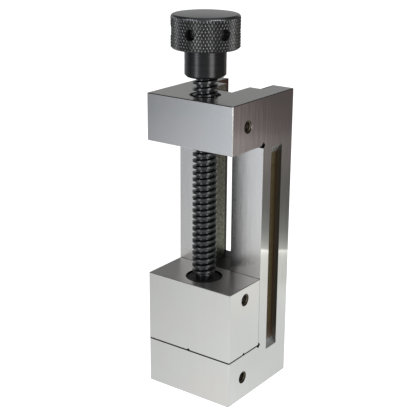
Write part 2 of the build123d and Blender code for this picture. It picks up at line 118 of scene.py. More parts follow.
class Recipe:
    """Adds nodes to a tree and joins them."""

    def __init__(self, tree):
        self.tree = tree

    def link(self, output, socket):
        self.tree.links.new(output, socket)

    def add(self, kind, inputs=None, **settings):
        """Adds a node. An input gets a value or a link, or a list of links where it takes several."""
        node = self.tree.nodes.new(kind)
        for name, value in settings.items():
            setattr(node, name, value)
        for key, value in (inputs or {}).items():
            for one in value if isinstance(value, list) else [value]:
                if isinstance(one, bpy.types.NodeSocket):
                    self.link(one, node.inputs[key])
                else:
                    node.inputs[key].default_value = one
        return node

    def group(self, tree, **inputs):
        """Uses a shader group and returns its outputs."""
        named = {name.replace("_", " "): value for name, value in inputs.items()}
        return self.add("ShaderNodeGroup", named, node_tree=tree).outputs

    def math(self, operation, *values):
        return self.add("ShaderNodeMath", dict(enumerate(values)), operation=operation).outputs[0]

    def plus(self, first, second):
        return self.math("ADD", first, second)

    def minus(self, first, second):
        return self.math("SUBTRACT", first, second)

    def times(self, first, second):
        return self.math("MULTIPLY", first, second)

    def over(self, first, second):
        return self.math("DIVIDE", first, second)

    def clamp(self, value, least, most):
        return self.math("MAXIMUM", self.math("MINIMUM", value, most), least)

    def between(self, value, least, most):
        """1 between two limits, 0 outside them."""
        return self.times(self.math("GREATER_THAN", value, least), self.math("LESS_THAN", value, most))

    def split(self, vector):
        node = self.add("ShaderNodeSeparateXYZ", {0: vector})
        return node.outputs[0], node.outputs[1], node.outputs[2]

    def join(self, x, y, z):
        return self.add("ShaderNodeCombineXYZ", {0: x, 1: y, 2: z}).outputs[0]

    def vectors(self, operation, *values):
        node = self.add("ShaderNodeVectorMath", dict(enumerate(values)), operation=operation)
        return node.outputs["Value" if operation in ("LENGTH", "DOT_PRODUCT") else "Vector"]

    def noise(self, vector, scale, detail, roughness=0.5):
        inputs = {"Vector": vector, "Scale": scale, "Detail": detail, "Roughness": roughness}
        return self.add("ShaderNodeTexNoise", inputs).outputs["Fac"]

    def map_range(self, value, limits, **settings):
        return self.add("ShaderNodeMapRange", {"Value": value, **limits}, **settings).outputs["Result"]

    def vary(self, value, low, high):
        """A value that swings between low and high as a 0 to 1 pattern does."""
        return self.map_range(value, {"To Min": low, "To Max": high})

    def ramp(self, value, start, end):
        """0 below start, 1 above end, smooth between them."""
        return self.map_range(value, {"From Min": start, "From Max": end}, interpolation_type="SMOOTHSTEP")

    def mix(self, kind, mask, first, second):
        """Between two numbers, vectors or colours, by a mask from 0 to 1."""
        low, high, output = MIX_SOCKETS[kind]
        if kind == "RGBA":
            first, second = ((*v, 1.0) if isinstance(v, tuple) else v for v in (first, second))
        return self.add("ShaderNodeMix", {0: mask, low: first, high: second}, data_type=kind).outputs[output]

    def tint(self, colour, factor):
        """Colour times a grey factor."""
        return self.vectors("MULTIPLY", colour, self.join(factor, factor, factor))


KINDS = {float: "NodeSocketFloat", int: "NodeSocketInt", tuple: "NodeSocketVector"}


def new_group(name, family, inputs, outputs=()):
    """A node group. An input's kind follows from its first value. family is Geometry or Shader."""
    tree = bpy.data.node_groups.new(name, f"{family}NodeTree")
    sockets = [(label, KINDS[type(value)], value) for label, value in inputs.items()]
    results = [(label, "NodeSocketFloat") for label in outputs]
    if family == "Geometry":
        mesh = ("Geometry", "NodeSocketGeometry")
        sockets = [(*mesh, None), *sockets, ("Material", "NodeSocketMaterial", None)]
        results = [mesh]
    for label, kind, value in sockets:
        socket = tree.interface.new_socket(label, in_out="INPUT", socket_type=kind)
        if value is not None:
            socket.default_value = value
    for label, kind in results:
        tree.interface.new_socket(label, in_out="OUTPUT", socket_type=kind)
    recipe = Recipe(tree)
    return tree, recipe, recipe.add("NodeGroupInput").outputs, recipe.add("NodeGroupOutput").inputs


def finish_geometry(recipe, given, result, geometry):
    """Every geometry tree ends with plain mesh in its material."""
    real = recipe.add("GeometryNodeRealizeInstances", {"Geometry": geometry}).outputs[0]
    painted = recipe.add("GeometryNodeSetMaterial", {"Geometry": real, "Material": given["Material"]})
    recipe.link(painted.outputs[0], result["Geometry"])


def use_tree(piece, tree, **values):
    """Puts a tree on a piece. Inputs are found by name and set by the socket's identifier."""
    modifier = piece.modifiers.new(tree.name, "NODES")
    modifier.node_group = tree
    wanted = {name.replace("_", " "): value for name, value in values.items()}
    for socket in tree.interface.items_tree:
        if socket.in_out == "INPUT" and socket.name in wanted:
            modifier[socket.identifier] = wanted.pop(socket.name)
    assert not wanted, wanted


# %% [markdown]
# ## Small tools for meshes
# A finished piece is a plain mesh at the origin. The tree is evaluated once, its result becomes the
# piece's own mesh, and doubles are merged before the faces are turned outwards.

# %% Tools for meshes
SHARP = math.radians(32)
WELD = 2e-6


def new_piece(name, mesh):
    piece = bpy.data.objects.new(name, mesh)
    bpy.context.scene.collection.objects.link(piece)
    return piece


def outline_mesh(name, points, marks=None):
    """A row of points (radius, height) that a tree turns round the axis or winds along it."""
    mesh = bpy.data.meshes.new(name)
    mesh.from_pydata([(r, 0, z) for r, z in points], [], [])
    if marks is not None:
        mark = mesh.attributes.new("knurl", "FLOAT", "POINT")
        mark.data.foreach_set("value", marks)
    return mesh


def bake_modifiers(piece):
    """Replaces the piece's mesh by what its modifiers make of it."""
    evaluated = piece.evaluated_get(bpy.context.evaluated_depsgraph_get())
    mesh = bpy.data.meshes.new_from_object(evaluated)
    piece.modifiers.clear()
    piece.data = mesh
    return piece


def close_and_smooth(piece, weld=WELD, sharp=SHARP):
    """Merges doubles, turns faces outwards and keeps only real edges sharp."""
    work = bmesh.new()
    work.from_mesh(piece.data)
    bmesh.ops.remove_doubles(work, verts=work.verts, dist=weld)
    bmesh.ops.dissolve_degenerate(work, edges=work.edges, dist=weld)
    bmesh.ops.recalc_face_normals(work, faces=work.faces)
    open_edges = sum(not edge.is_manifold for edge in work.edges)
    work.to_mesh(piece.data)
    work.free()
    piece.data.shade_smooth()
    piece.data.set_sharp_from_angle(angle=sharp)
    print(piece.name, "faces", len(piece.data.polygons), "open edges", open_edges)
    return piece


def boolean(piece, tool, operation):
    """Cuts or joins a closed piece with a closed tool, which is used up."""
    modifier = piece.modifiers.new("boolean", "BOOLEAN")
    modifier.operation = operation
    modifier.solver = "EXACT"
    modifier.object = tool
    bake_modifiers(piece)
    bpy.data.objects.remove(tool)


# %% [markdown]
# ## One tree for everything turned on a lathe
# The knob, its collar and the screw's ends are solids of revolution. A lathe follows an outline, and so
# does this tree: it lays a flat grid out, reads one outline point for each row, and winds the columns
# round the axis. A diamond knurl is two families of grooves that lean opposite ways, so the same grid
# can carry it: where an outline point is marked, the surface sinks by the distance to the nearest
# groove. The grid has whole steps to a diamond, so every groove runs along vertices and stays crisp.

# %% Tree: turned form with a diamond knurl
def numbered_grid(make, columns, last_row):
    """A flat grid, with the number of the column and of the row that a vertex is in."""
    counts = {"Vertices X": make.plus(columns, 1.0), "Vertices Y": make.plus(last_row, 1.0)}
    grid = make.add("GeometryNodeMeshGrid", {"Size X": 1.0, "Size Y": 1.0, **counts}).outputs["Mesh"]
    across, along, _ = make.split(make.add("GeometryNodeInputPosition").outputs[0])
    column = make.math("ROUND", make.times(make.plus(across, 0.5), columns))
    return grid, column, make.math("ROUND", make.times(make.plus(along, 0.5), last_row))


def from_outline(make, outline, row, value, kind):
    """What one point of the outline holds."""
    inputs = {"Geometry": outline, "Value": value, "Index": row}
    return make.add("GeometryNodeSampleIndex", inputs, data_type=kind, domain="POINT").outputs[0]


def outline_point(make, outline, row):
    """The distance and the height of one point of the outline."""
    position = make.add("GeometryNodeInputPosition").outputs[0]
    distance, _, height = make.split(from_outline(make, outline, row, position, "FLOAT_VECTOR"))
    return distance, height


def wind(make, grid, reach, angle, height):
    """Lays the grid's vertices round the axis and welds the seam."""
    x, y = (make.times(reach, make.math(way, angle)) for way in ("COSINE", "SINE"))
    wound = make.add("GeometryNodeSetPosition", {"Geometry": grid, "Position": make.join(x, y, height)})
    return make.add("GeometryNodeMergeByDistance", {"Geometry": wound.outputs[0], "Distance": WELD}).outputs[0]


def turned_tree():
    inputs = {
        "Columns": 64,
        "Diamonds Round": 1.0,
        "Diamond Height": 1.0,
        "Knurl Base": 0.0,
        "Knurl Depth": 0.0,
        "Flat Top": 0.8,
    }
    tree, make, given, result = new_group("Turned form", "Geometry", inputs)
    outline = given["Geometry"]
    rows = make.add("GeometryNodeAttributeDomainSize", {"Geometry": outline}).outputs["Point Count"]
    grid, column, row = numbered_grid(make, given["Columns"], make.minus(rows, 1.0))
    radius, height = outline_point(make, outline, row)
    knurl = make.add("GeometryNodeInputNamedAttribute", {"Name": "knurl"}).outputs[0]
    mark = from_outline(make, outline, row, knurl, "FLOAT")
    share = make.over(column, given["Columns"])
    turn = make.times(share, given["Diamonds Round"])
    rise = make.over(make.minus(height, given["Knurl Base"]), given["Diamond Height"])
    leaning = [make.math("PINGPONG", make.math(lean, turn, rise), 0.5) for lean in ("ADD", "SUBTRACT")]
    pyramid = make.times(make.math("MINIMUM", *leaning), 2.0)
    crest = make.math("MINIMUM", make.over(pyramid, given["Flat Top"]), 1.0)
    sunk = make.times(make.minus(1.0, crest), make.times(mark, given["Knurl Depth"]))
    wound = wind(make, grid, make.minus(radius, sunk), make.times(share, math.tau), height)
    cut = make.add("GeometryNodeTriangulate", {"Mesh": wound}, quad_method="SHORTEST_DIAGONAL")
    finish_geometry(make, given, result, cut.outputs[0])
    return tree


TURNED = turned_tree()
print("tree", TURNED.name, "with", len(TURNED.nodes), "nodes")


def turned_piece(name, points, columns=96, marks=None, **knurl):
    """A closed solid of revolution from its outline, axis to axis."""
    mesh = outline_mesh(name, points, marks or [0.0] * len(points))
    piece = new_piece(name, mesh)
    use_tree(piece, TURNED, Columns=columns, **knurl)
    return bake_modifiers(piece)


# %% [markdown]
# ## A tree for a ring of drilled holes
# One drill is made of a cylinder, a short cone that eases the hole's mouth and a cone for the drill's
# point. The point reaches a little into the cylinder and is a little narrower, because an exact union
# fails where two faces share a plane. The drill is placed once for each hole, pointing away from the
# axis, and the whole ring is cut out in one go.

# %% Tree: ring of drilled holes
DRILL_SIDES = 40
POINT_WIDTH = 0.98
POINT_BELOW = 0.9


def drilled_ring_tree():
    inputs = {
        "Holes": 6,
        "Hole Radius": 0.002,
        "Inner Reach": 0.005,
        "Outer Reach": 0.02,
        "Surface": 0.015,
        "Mouth": 0.0003,
        "Point Height": 0.001,
        "Height": 0.0,
        "First Angle": 0.0,
    }
    tree, make, given, result = new_group("Drilled ring", "Geometry", inputs)
    radius, surface, mouth, tip = (given[n] for n in ("Hole Radius", "Surface", "Mouth", "Point Height"))
    inner, outer = given["Inner Reach"], given["Outer Reach"]

    def cone(low, bottom, top, height):
        """A cone on the drill's axis, placed by its lower end."""
        sizes = {"Vertices": DRILL_SIDES, "Radius Bottom": bottom, "Radius Top": top, "Depth": height}
        mesh = make.add("GeometryNodeMeshCone", sizes).outputs["Mesh"]
        lift = {"Geometry": mesh, "Translation": make.join(0.0, 0.0, low)}
        return make.add("GeometryNodeTransform", lift).outputs[0]

    depth = make.minus(outer, inner)
    middle = make.times(make.plus(outer, inner), 0.5)
    shank = make.add("GeometryNodeMeshCylinder", {"Vertices": DRILL_SIDES, "Radius": radius, "Depth": depth})
    flare = make.plus(mouth, make.minus(outer, surface))
    eased = cone(make.minus(make.minus(surface, mouth), middle), radius, make.plus(radius, flare), flare)
    point_low = make.math("MULTIPLY_ADD", tip, -POINT_BELOW, make.times(depth, -0.5))
    point = cone(point_low, 0.0, make.times(radius, POINT_WIDTH), tip)
    parts = {"Mesh 2": [shank.outputs["Mesh"], eased, point]}
    drill = make.add("GeometryNodeMeshBoolean", parts, operation="UNION", solver="EXACT").outputs["Mesh"]
    ring = make.add("GeometryNodeMeshCircle", {"Vertices": given["Holes"], "Radius": middle}).outputs["Mesh"]
    turned = {
        "Geometry": ring,
        "Translation": make.join(0.0, 0.0, given["Height"]),
        "Rotation": make.join(0.0, 0.0, given["First Angle"]),
    }
    points = make.add("GeometryNodeTransform", turned).outputs[0]
    x, y, _ = make.split(make.add("GeometryNodeInputPosition").outputs[0])
    outward = make.add("FunctionNodeAlignRotationToVector", {"Vector": make.join(x, y, 0.0)}, axis="Z")
    placed = {"Points": points, "Instance": drill, "Rotation": outward.outputs[0]}
    drills = make.add("GeometryNodeInstanceOnPoints", placed).outputs[0]
    tools = make.add("GeometryNodeRealizeInstances", {"Geometry": drills}).outputs[0]
    meshes = {"Mesh 1": given["Geometry"], "Mesh 2": tools}
    cut = make.add("GeometryNodeMeshBoolean", meshes, operation="DIFFERENCE", solver="EXACT")
    finish_geometry(make, given, result, cut.outputs["Mesh"])
    return tree


DRILLED = drilled_ring_tree()
print("tree", DRILLED.name, "with", len(DRILLED.nodes), "nodes")

# %% [markdown]
# ## A tree for screw threads
# A thread is one outline repeated up a helix. The grid's rows are sheared here by one pitch for each
# turn, so the edges of the flanks run along the helix and shine as clean lines. A straight grid would
# cross them in steps. Both ends are held under a 45 degree cone, which is how a thread starts on a lathe.

# %% Tree: screw thread
def thread_tree():
    inputs = {
        "Columns": 72,
        "Turns": 10,
        "Pitch": 0.001,
        "Root Radius": 0.002,
        "Base": 0.0,
        "Start Angle": 0.0,
        "Lead In Low": -1.0,
        "Lead In High": 1.0,
    }
    tree, make, given, result = new_group("Screw thread", "Geometry", inputs)
    outline = given["Geometry"]
    per_turn = make.add("GeometryNodeAttributeDomainSize", {"Geometry": outline}).outputs["Point Count"]
    grid, column, row = numbered_grid(make, given["Columns"], make.times(per_turn, given["Turns"]))
    turn = make.math("FLOOR", make.over(make.plus(row, 0.5), per_turn))
    depth, level = outline_point(make, outline, make.minus(row, make.times(turn, per_turn)))
    share = make.over(column, given["Columns"])
    climbed = make.times(make.plus(turn, share), given["Pitch"])
    height = make.plus(make.plus(given["Base"], level), climbed)
    from_low = make.math("MAXIMUM", make.minus(height, given["Lead In Low"]), 0.0)
    from_high = make.math("MAXIMUM", make.minus(given["Lead In High"], height), 0.0)
    allowed = make.math("MINIMUM", from_low, from_high)
    reach = make.plus(given["Root Radius"], make.math("MINIMUM", depth, allowed))
    angle = make.plus(make.times(share, math.tau), given["Start Angle"])
    finish_geometry(make, given, result, wind(make, grid, reach, angle, height))
    return tree


THREAD = thread_tree()
print("tree", THREAD.name, "with", len(THREAD.nodes), "nodes")


def trim_between(piece, low, high):
    """Cuts a tube square at two heights and closes both ends."""
    work = bmesh.new()
    work.from_mesh(piece.data)
    bmesh.ops.remove_doubles(work, verts=work.verts, dist=WELD)
    for level, outward in ((low, -1), (high, 1)):
        cut = bmesh.ops.bisect_plane(
            work,
            geom=work.verts[:] + work.edges[:] + work.faces[:],
            dist=1e-7,
            plane_co=(0, 0, level),
            plane_no=(0, 0, outward),
            clear_outer=True,
        )
        rim = [item for item in cut["geom_cut"] if isinstance(item, bmesh.types.BMEdge)]
        bmesh.ops.edgeloop_fill(work, edges=rim)
    bmesh.ops.recalc_face_normals(work, faces=work.faces)
    work.to_mesh(piece.data)
    work.free()


# %% [markdown]
# ## A tree for threads inside holes
# The solids have their tapped holes as plain bores at the thread's widest. The thread is a ridge that
# winds down the wall. It is one trapezoid swept along a spiral, made once and placed at each hole, with
# its axis turned the way that the hole runs. The sweep's frame is held upright, so that the ridge's
# narrow side always points at the axis.

# %% Tree: ridges in tapped holes
RIDGE_FOOT = 0.86
RIDGE_CREST = 0.25


def tapped_tree():
    inputs = {"Wall Radius": 0.003, "Pitch": 0.001, "Ridge Height": 0.0005, "Turns": 10.0, "Steps Per Turn": 28}
    tree, make, given, result = new_group("Tapped thread", "Geometry", inputs)
    pitch, ridge_height = given["Pitch"], given["Ridge Height"]
    middle = make.minus(given["Wall Radius"], make.times(ridge_height, 0.5))
    run = {
        "Resolution": given["Steps Per Turn"],
        "Rotations": given["Turns"],
        "Start Radius": middle,
        "End Radius": middle,
        "Height": make.times(given["Turns"], pitch),
        "Reverse": True,
    }
    spiral = make.add("GeometryNodeCurveSpiral", run).outputs[0]
    upright = make.add("GeometryNodeSetCurveNormal", {"Curve": spiral}, mode="Z_UP").outputs[0]
    trapezoid = {
        "Height": ridge_height,
        "Bottom Width": make.times(pitch, RIDGE_FOOT),
        "Top Width": make.times(pitch, RIDGE_CREST),
        "Offset": 0.0,
    }
    section = make.add("GeometryNodeCurvePrimitiveQuadrilateral", trapezoid, mode="TRAPEZOID").outputs[0]
    quarter_turn = {"Geometry": section, "Rotation": (0.0, 0.0, math.radians(90))}
    inward = make.add("GeometryNodeTransform", quarter_turn).outputs[0]
    sweep = {"Curve": upright, "Profile Curve": inward, "Fill Caps": True}
    ridge = make.add("GeometryNodeCurveToMesh", sweep).outputs[0]
    heading = make.add("GeometryNodeInputNamedAttribute", {"Name": "heading"}, data_type="FLOAT_VECTOR")
    turned = make.add("FunctionNodeAlignRotationToVector", {"Vector": heading.outputs[0]}, axis="Z")
    placed = {"Points": given["Geometry"], "Instance": ridge, "Rotation": turned.outputs[0]}
    finish_geometry(make, given, result, make.add("GeometryNodeInstanceOnPoints", placed).outputs[0])
    return tree


TAPPED = tapped_tree()
print("tree", TAPPED.name, "with", len(TAPPED.nodes), "nodes")

# %% [markdown]
# ## Finishes
# Ground steel has no colour of its own to speak of: it shows the room, drawn out along the fine lines
# that the grinding wheel left. So the lines are a shader group that every steel here shares. The noise
# is squeezed across the lines and drawn out along them. On the long faces they run up the vise, and on
# the end faces, whose normal points along the screw, they run across it.

# %% Shader group: lines of the grinding wheel
END_FACING = 0.7


def is_end_face(make, facing):
    """1 on a face whose normal points along the screw."""
    return make.math("GREATER_THAN", make.math("ABSOLUTE", make.split(facing)[2]), END_FACING)


def lines_group():
    inputs = {"Place": (0, 0, 0), "Facing": (0, 0, 1), "Fineness": 4000.0, "Draw Out": 0.012}
    tree, make, given, result = new_group("Grinding lines", "Shader", inputs, ["Fine", "Broad"])
    x, y, z = make.split(given["Place"])
    along = given["Draw Out"]
    upright = make.join(x, y, make.times(z, along))
    level = make.join(make.times(x, along), y, z)
    lines = make.mix("VECTOR", is_end_face(make, given["Facing"]), upright, level)
    for output, share, detail in (("Fine", 1.0, 3.0), ("Broad", 0.12, 2.0)):
        scale = make.times(given["Fineness"], share)
        make.link(make.noise(lines, scale, detail, 0.6), result[output])
    return tree


# %% [markdown]
# Hands, oil and storage leave clouds on steel, a few centimetres across, and specks that are much finer.
# Both come from one group, whose size is set for each finish.

# %% Shader group: traces of handling
def handling_group():
    inputs = {"Place": (0, 0, 0), "Size": 0.02}
    tree, make, given, result = new_group("Handling", "Shader", inputs, ["Clouds", "Specks", "Grit"])
    scale = make.over(1.0, given["Size"])
    make.link(make.noise(given["Place"], scale, 4.0, 0.55), result["Clouds"])
    specks = make.noise(given["Place"], make.times(scale, 14.0), 3.0)
    for output, start, end in (("Specks", 0.62, 0.72), ("Grit", 0.35, 0.65)):
        make.link(make.map_range(specks, {"From Min": start, "From Max": end}), result[output])
    return tree


# %% [markdown]
# A cutter that is fed across a face leaves even, parallel ridges, one for each turn of the cutter. They
# waver a little, so the sine that draws them is pushed about by a slow noise.

# %% Shader group: feed marks of a cutter
def feed_group():
    inputs = {"Place": (0, 0, 0), "Feed Way": (0, 1, 0), "Feed": 0.001, "Waver": 0.3}
    tree, make, given, result = new_group("Feed marks", "Shader", inputs, ["Ridges"])
    run = make.vectors("DOT_PRODUCT", given["Place"], given["Feed Way"])
    slow = make.noise(given["Place"], 300.0, 1.0)
    pushed = make.math("MULTIPLY_ADD", slow, given["Waver"], make.over(run, given["Feed"]))
    wave = make.math("SINE", make.times(pushed, math.tau))
    make.link(make.math("MULTIPLY_ADD", wave, 0.5, 0.5), result["Ridges"])
    return tree


# %% [markdown]
# Two more groups only find places: inside a box, and within a radius of a line. They give 1 or 0.

# %% Shader groups: where a point lies
def box_group():
    """1 where a place lies between two corners."""
    inputs = dict.fromkeys(("Place", "Low", "High"), (0, 0, 0))
    tree, make, given, result = new_group("Inside box", "Shader", inputs, ["Mask"])
    mask = 1.0
    for here, least, most in zip(*(make.split(given[name]) for name in inputs)):
        mask = make.times(mask, make.between(here, least, most))
    make.link(mask, result["Mask"])
    return tree


def bore_group():
    """1 within a radius of a line. Across is 0 along the line and 1 the other two ways."""
    inputs = {"Place": (0, 0, 0), "Centre": (0, 0, 0), "Across": (0, 1, 1), "Radius": 0.001}
    tree, make, given, result = new_group("Inside bore", "Shader", inputs, ["Mask"])
    away = make.vectors("SUBTRACT", given["Place"], given["Centre"])
    far = make.vectors("LENGTH", make.vectors("MULTIPLY", away, given["Across"]))
    make.link(make.math("LESS_THAN", far, given["Radius"]), result["Mask"])
    return tree


LINES = lines_group()
HANDLING = handling_group()
FEED_MARKS = feed_group()
INSIDE_BOX = box_group()
INSIDE_BORE = bore_group()
print("shader groups", [tree.name for tree in (LINES, HANDLING, FEED_MARKS, INSIDE_BOX, INSIDE_BORE)])

# %% [markdown]
# The steels are built by one function with their own values. Colour, roughness and a very low bump all
# follow the same lines, as they do on a real ground face, and the clouds keep large faces from looking
# like paint. Fine parallel lines blur a reflection across them and leave it sharp along them. The
# shader's anisotropy does that, with a tangent that points across the lines.

# %% Shader tools
def start_material(name, colour, metallic, **fixed):
    """A material whose even values are set on the shader itself."""
    material = bpy.data.materials.new(name)
    material.use_nodes = True
    material.node_tree.nodes.clear()
    make = Recipe(material.node_tree)
    shader = make.add("ShaderNodeBsdfPrincipled", {"Base Color": (*colour, 1.0), "Metallic": metallic})
    for socket, value in fixed.items():
        shader.inputs[socket.replace("_", " ")].default_value = value
    make.add("ShaderNodeOutputMaterial", {"Surface": shader.outputs[0]})
    material.diffuse_color = (*colour, 1.0)
    return material, make, shader


def place_and_facing(make):
    node = make.add("ShaderNodeTexCoord")
    return node.outputs["Object"], node.outputs["Normal"]


def add_bump(make, shader, height, distance):
    bump = make.add("ShaderNodeBump", {"Height": height, "Distance": distance, "Strength": 1.0})
    make.link(bump.outputs[0], shader.inputs["Normal"])


def across_the_lines(make, facing):
    """A direction in the surface, square to the grinding lines."""
    x, y, _ = make.split(facing)
    level = make.join(make.times(y, -1.0), x, 0.0)
    return make.mix("VECTOR", is_end_face(make, facing), level, (0.0, 1.0, 0.0))


# %% [markdown]
# The ground block is not the same all over. Its slots are milled and never ground, the broken edges are
# dull, and so on. Other zones are painted light and shade: painted shade in the tapped holes, the bores,
# the corner reliefs, the joint between the jaws, the walls of the strap slots and under the end block, a
# painted dark reflection on the sloped chamfers, a painted highlight on one edge, and the slots' run-outs
# painted lighter at the upper end and darker at the lower end. Each such place is a zone with its own
# colour and roughness, found by where a point lies on the piece and which way it faces, so the zones stay
# put in every pose. A zone's box counts for both halves of the vise.

# %% Zones
ALONG_X = (0, 1, 1)
ALONG_Z = (1, 1, 0)


def zone_mask(make, place, facing, zone):
    """Everything that a zone asks for, multiplied together."""
    mask = zone.get("share", 1.0)
    if "box" in zone:
        low, high = zone["box"]
        x, y, z = make.split(place)
        right_half = make.join(make.math("ABSOLUTE", x), y, z)
        mask = make.times(mask, make.group(INSIDE_BOX, Place=right_half, Low=low, High=high)["Mask"])
    if "bore" in zone:
        centre, radius, across = zone["bore"]
        bore = make.group(INSIDE_BORE, Place=place, Centre=centre, Across=across, Radius=radius)
        mask = make.times(mask, bore["Mask"])
    if "faces" in zone:
        way, least, most = zone["faces"]
        here = make.math("ABSOLUTE", make.split(facing)["XYZ".index(way)])
        mask = make.times(mask, make.between(here, least, most))
    return mask


# %% Ground steel
WAVE_WIDTH = 2.2 * MM
WAVE_LENGTH = 14 * MM
WAVE_HEIGHT = 0.03 * MM
FINE_HEIGHT = 0.003 * MM
FEED_HEIGHT = 0.012 * MM
SKIN = 0.06 * MM
WARMER = (1.0, 0.965, 0.97)
WARMER_CLOUDS = 0.35, 0.65
FINE_SHARE = 0.6
CLOUD_SHADE = 0.96, 1.04
CLOUD_ROUGHNESS = -0.03, 0.03
RIDGE_SHADE = 0.45, 1.55


def long_waves(make, place, facing):
    """Low waves up the sides and the bed. They break a mirror image into streaks."""
    x, y, z = make.split(place)
    sizes = (x, WAVE_WIDTH), (y, WAVE_WIDTH), (z, WAVE_LENGTH)
    streaks = make.join(*(make.times(value, 1 / size) for value, size in sizes))
    on_sides = make.math("ABSOLUTE", make.split(facing)[0])
    on_bed = make.math("GREATER_THAN", y, bed_y - SKIN)
    return make.times(make.noise(streaks, 1.0, 1.0), make.math("MAXIMUM", on_sides, on_bed))


def ground_steel(
    name, zones=(), colour=(0.62, 0.62, 0.612), smooth=0.14, matt=0.2, contrast=0.05, drawn=0.6, feed=None
):
    """feed is the way and the distance of a cutter's feed, for faces that were left as milled."""
    material, make, shader = start_material(name, colour, 1.0, Anisotropic=drawn)
    place, facing = place_and_facing(make)
    lines = make.group(LINES, Place=place, Facing=facing)
    handled = make.group(HANDLING, Place=place)
    clouds = handled["Clouds"]
    grain = make.math("MULTIPLY_ADD", lines["Broad"], 1 - FINE_SHARE, make.times(lines["Fine"], FINE_SHARE))
    shade = make.times(make.vary(grain, 1 - contrast, 1 + contrast), make.vary(clouds, *CLOUD_SHADE))
    rough = make.plus(make.vary(grain, smooth, matt), make.vary(clouds, *CLOUD_ROUGHNESS))
    warmer = tuple(c * w for c, w in zip(colour, WARMER))
    base = make.mix("RGBA", make.ramp(clouds, *WARMER_CLOUDS), colour, warmer)
    waves = long_waves(make, place, facing)
    height = make.math("MULTIPLY_ADD", waves, WAVE_HEIGHT / FINE_HEIGHT, lines["Fine"])
    if feed:
        way, step = feed
        ridges = make.group(FEED_MARKS, Place=place, Feed_Way=way, Feed=step)["Ridges"]
        shade = make.times(shade, make.vary(ridges, *RIDGE_SHADE))
        height = make.math("MULTIPLY_ADD", ridges, FEED_HEIGHT / FINE_HEIGHT, height)
    for zone in zones:
        mask = zone_mask(make, place, facing, zone)
        fresh = zone["colour"]
        if "second" in zone:
            fresh = make.mix("RGBA", handled["Grit"], fresh, zone["second"])
        base = make.mix("RGBA", mask, base, fresh)
        rough = make.mix("FLOAT", mask, rough, zone["rough"])
    make.link(make.tint(base, shade), shader.inputs["Base Color"])
    make.link(rough, shader.inputs["Roughness"])
    make.link(across_the_lines(make, facing), shader.inputs["Tangent"])
    add_bump(make, shader, height, FINE_HEIGHT)
    return material


# %% Colours of the zones
# Painted shade inside the tapped holes.
PAINTED_HOLE_SHADE = (0.045, 0.035, 0.026)
# Painted shade in the corner reliefs, the joint between the jaws, the bores and under the end block.
PAINTED_SHADE_BLACK = (0.02, 0.02, 0.02)
EDGE_DULL = (0.48, 0.48, 0.47)
# A painted dark reflection on the sloped chamfers.
EDGE_PAINTED_DARK_REFLECTION = (0.09, 0.088, 0.085)
# A painted highlight on the lower front edge of the end block.
EDGE_PAINTED_HIGHLIGHT = (0.85, 0.85, 0.83)
MILLED_OLIVE = (0.36, 0.36, 0.3)
MILLED_DARK = (0.16, 0.165, 0.13)
RECESS_GREY = (0.07, 0.07, 0.066)
RUSTY_OIL = (0.16, 0.075, 0.035)
SLOT_OLIVE = (0.5, 0.43, 0.29)
SLOT_BROWN = (0.41, 0.345, 0.23)
SLOT_SHADE = (0.1, 0.096, 0.09)
SLOT_CORNER = (0.1, 0.06, 0.048)
CORNER_OLIVE = (0.15, 0.13, 0.09)
# The run-outs of the strap slots keep the slot's oily olive and brown. The upper end is painted lighter, as
# lit, and the lower end darker, as shaded, each in a lighter and a darker band.
RUN_OUT_OLIVE_PAINTED_LIT = (0.56, 0.49, 0.32)
RUN_OUT_PAINTED_HIGHLIGHT = (0.8, 0.79, 0.76)
RUN_OUT_BROWN_PAINTED_SHADE = (0.36, 0.29, 0.23)
RUN_OUT_GREY_PAINTED_SHADE = (0.55, 0.56, 0.55)
BED_GREY = (0.595, 0.58, 0.575)
END_GREY = (0.6, 0.6, 0.59)
TOP_GREY = (0.6, 0.59, 0.58)
SIDE_GREY = (0.6, 0.595, 0.59)

# %% Zones of the body and the jaw
CORNER_LINE = 1.2 * MM
SECOND_LINE = 1.7 * CORNER_LINE
RELIEF_REACH = 1.9 * MM
JOINT_EDGE = 0.3 * MM
UNDER_BLOCK = 1.3 * MM
JAW_BORE_BOTTOM = 3 * MM
BUSH_GAP = 0.25 * MM
REACH_PAST = 2 * MM
FAR = 1
SIDES = ("X", 0.95, 1.1)
ENDS = ("Z", 0.95, 1.1)
LEVEL_EDGES = ("Z", 0.2, 0.95)
UPRIGHT_EDGES = ("X", 0.3, 0.95)
SLOT_WALLS = ("Y", 0.7, 1.1)

front = body_low.y - MM
past_low = body_low.z - REACH_PAST
past_high = body_high.z + REACH_PAST
strap_floor = body_high.x - STRAP_DEPTH
strap_front = bed_y + STRAP_BEHIND_BED
strap_back = strap_front + STRAP_WIDTH
strap_low = body_low.z + STRAP_LOW
strap_high = strap_low + STRAP_LENGTH
strap_middle = (strap_low + strap_high) / 2
strap_start = strap_low - SKIN
strap_end = strap_high + SKIN
inner_x = body_high.x - SKIN
hole_radius = HOLE_MOUTH / 2 - SKIN
recess_corner = recess_half + MM, body_high.y - SKIN, past_high


def spot(colour, rough, low=None, high=None, **more):
    """A zone with its colour and roughness, and the box that it fills, if it has one."""
    return {"colour": colour, "rough": rough, **({"box": (low, high)} if low else {}), **more}


def strap_zone(low, high, colour, rough, **more):
    """A zone inside the strap slots, between two heights."""
    corners = (strap_floor - SKIN, strap_front - SKIN, low), (inner_x, strap_back + SKIN, high)
    return spot(colour, rough, *corners, **more)


def corner_line(inner, outer, colour, rough):
    """A line along the back wall of the strap slots, between two distances from the floor."""
    low = strap_floor + inner - SKIN, strap_back - SKIN, strap_start
    return spot(colour, rough, low, (strap_floor + outer, strap_back + SKIN, strap_end), faces=SLOT_WALLS)


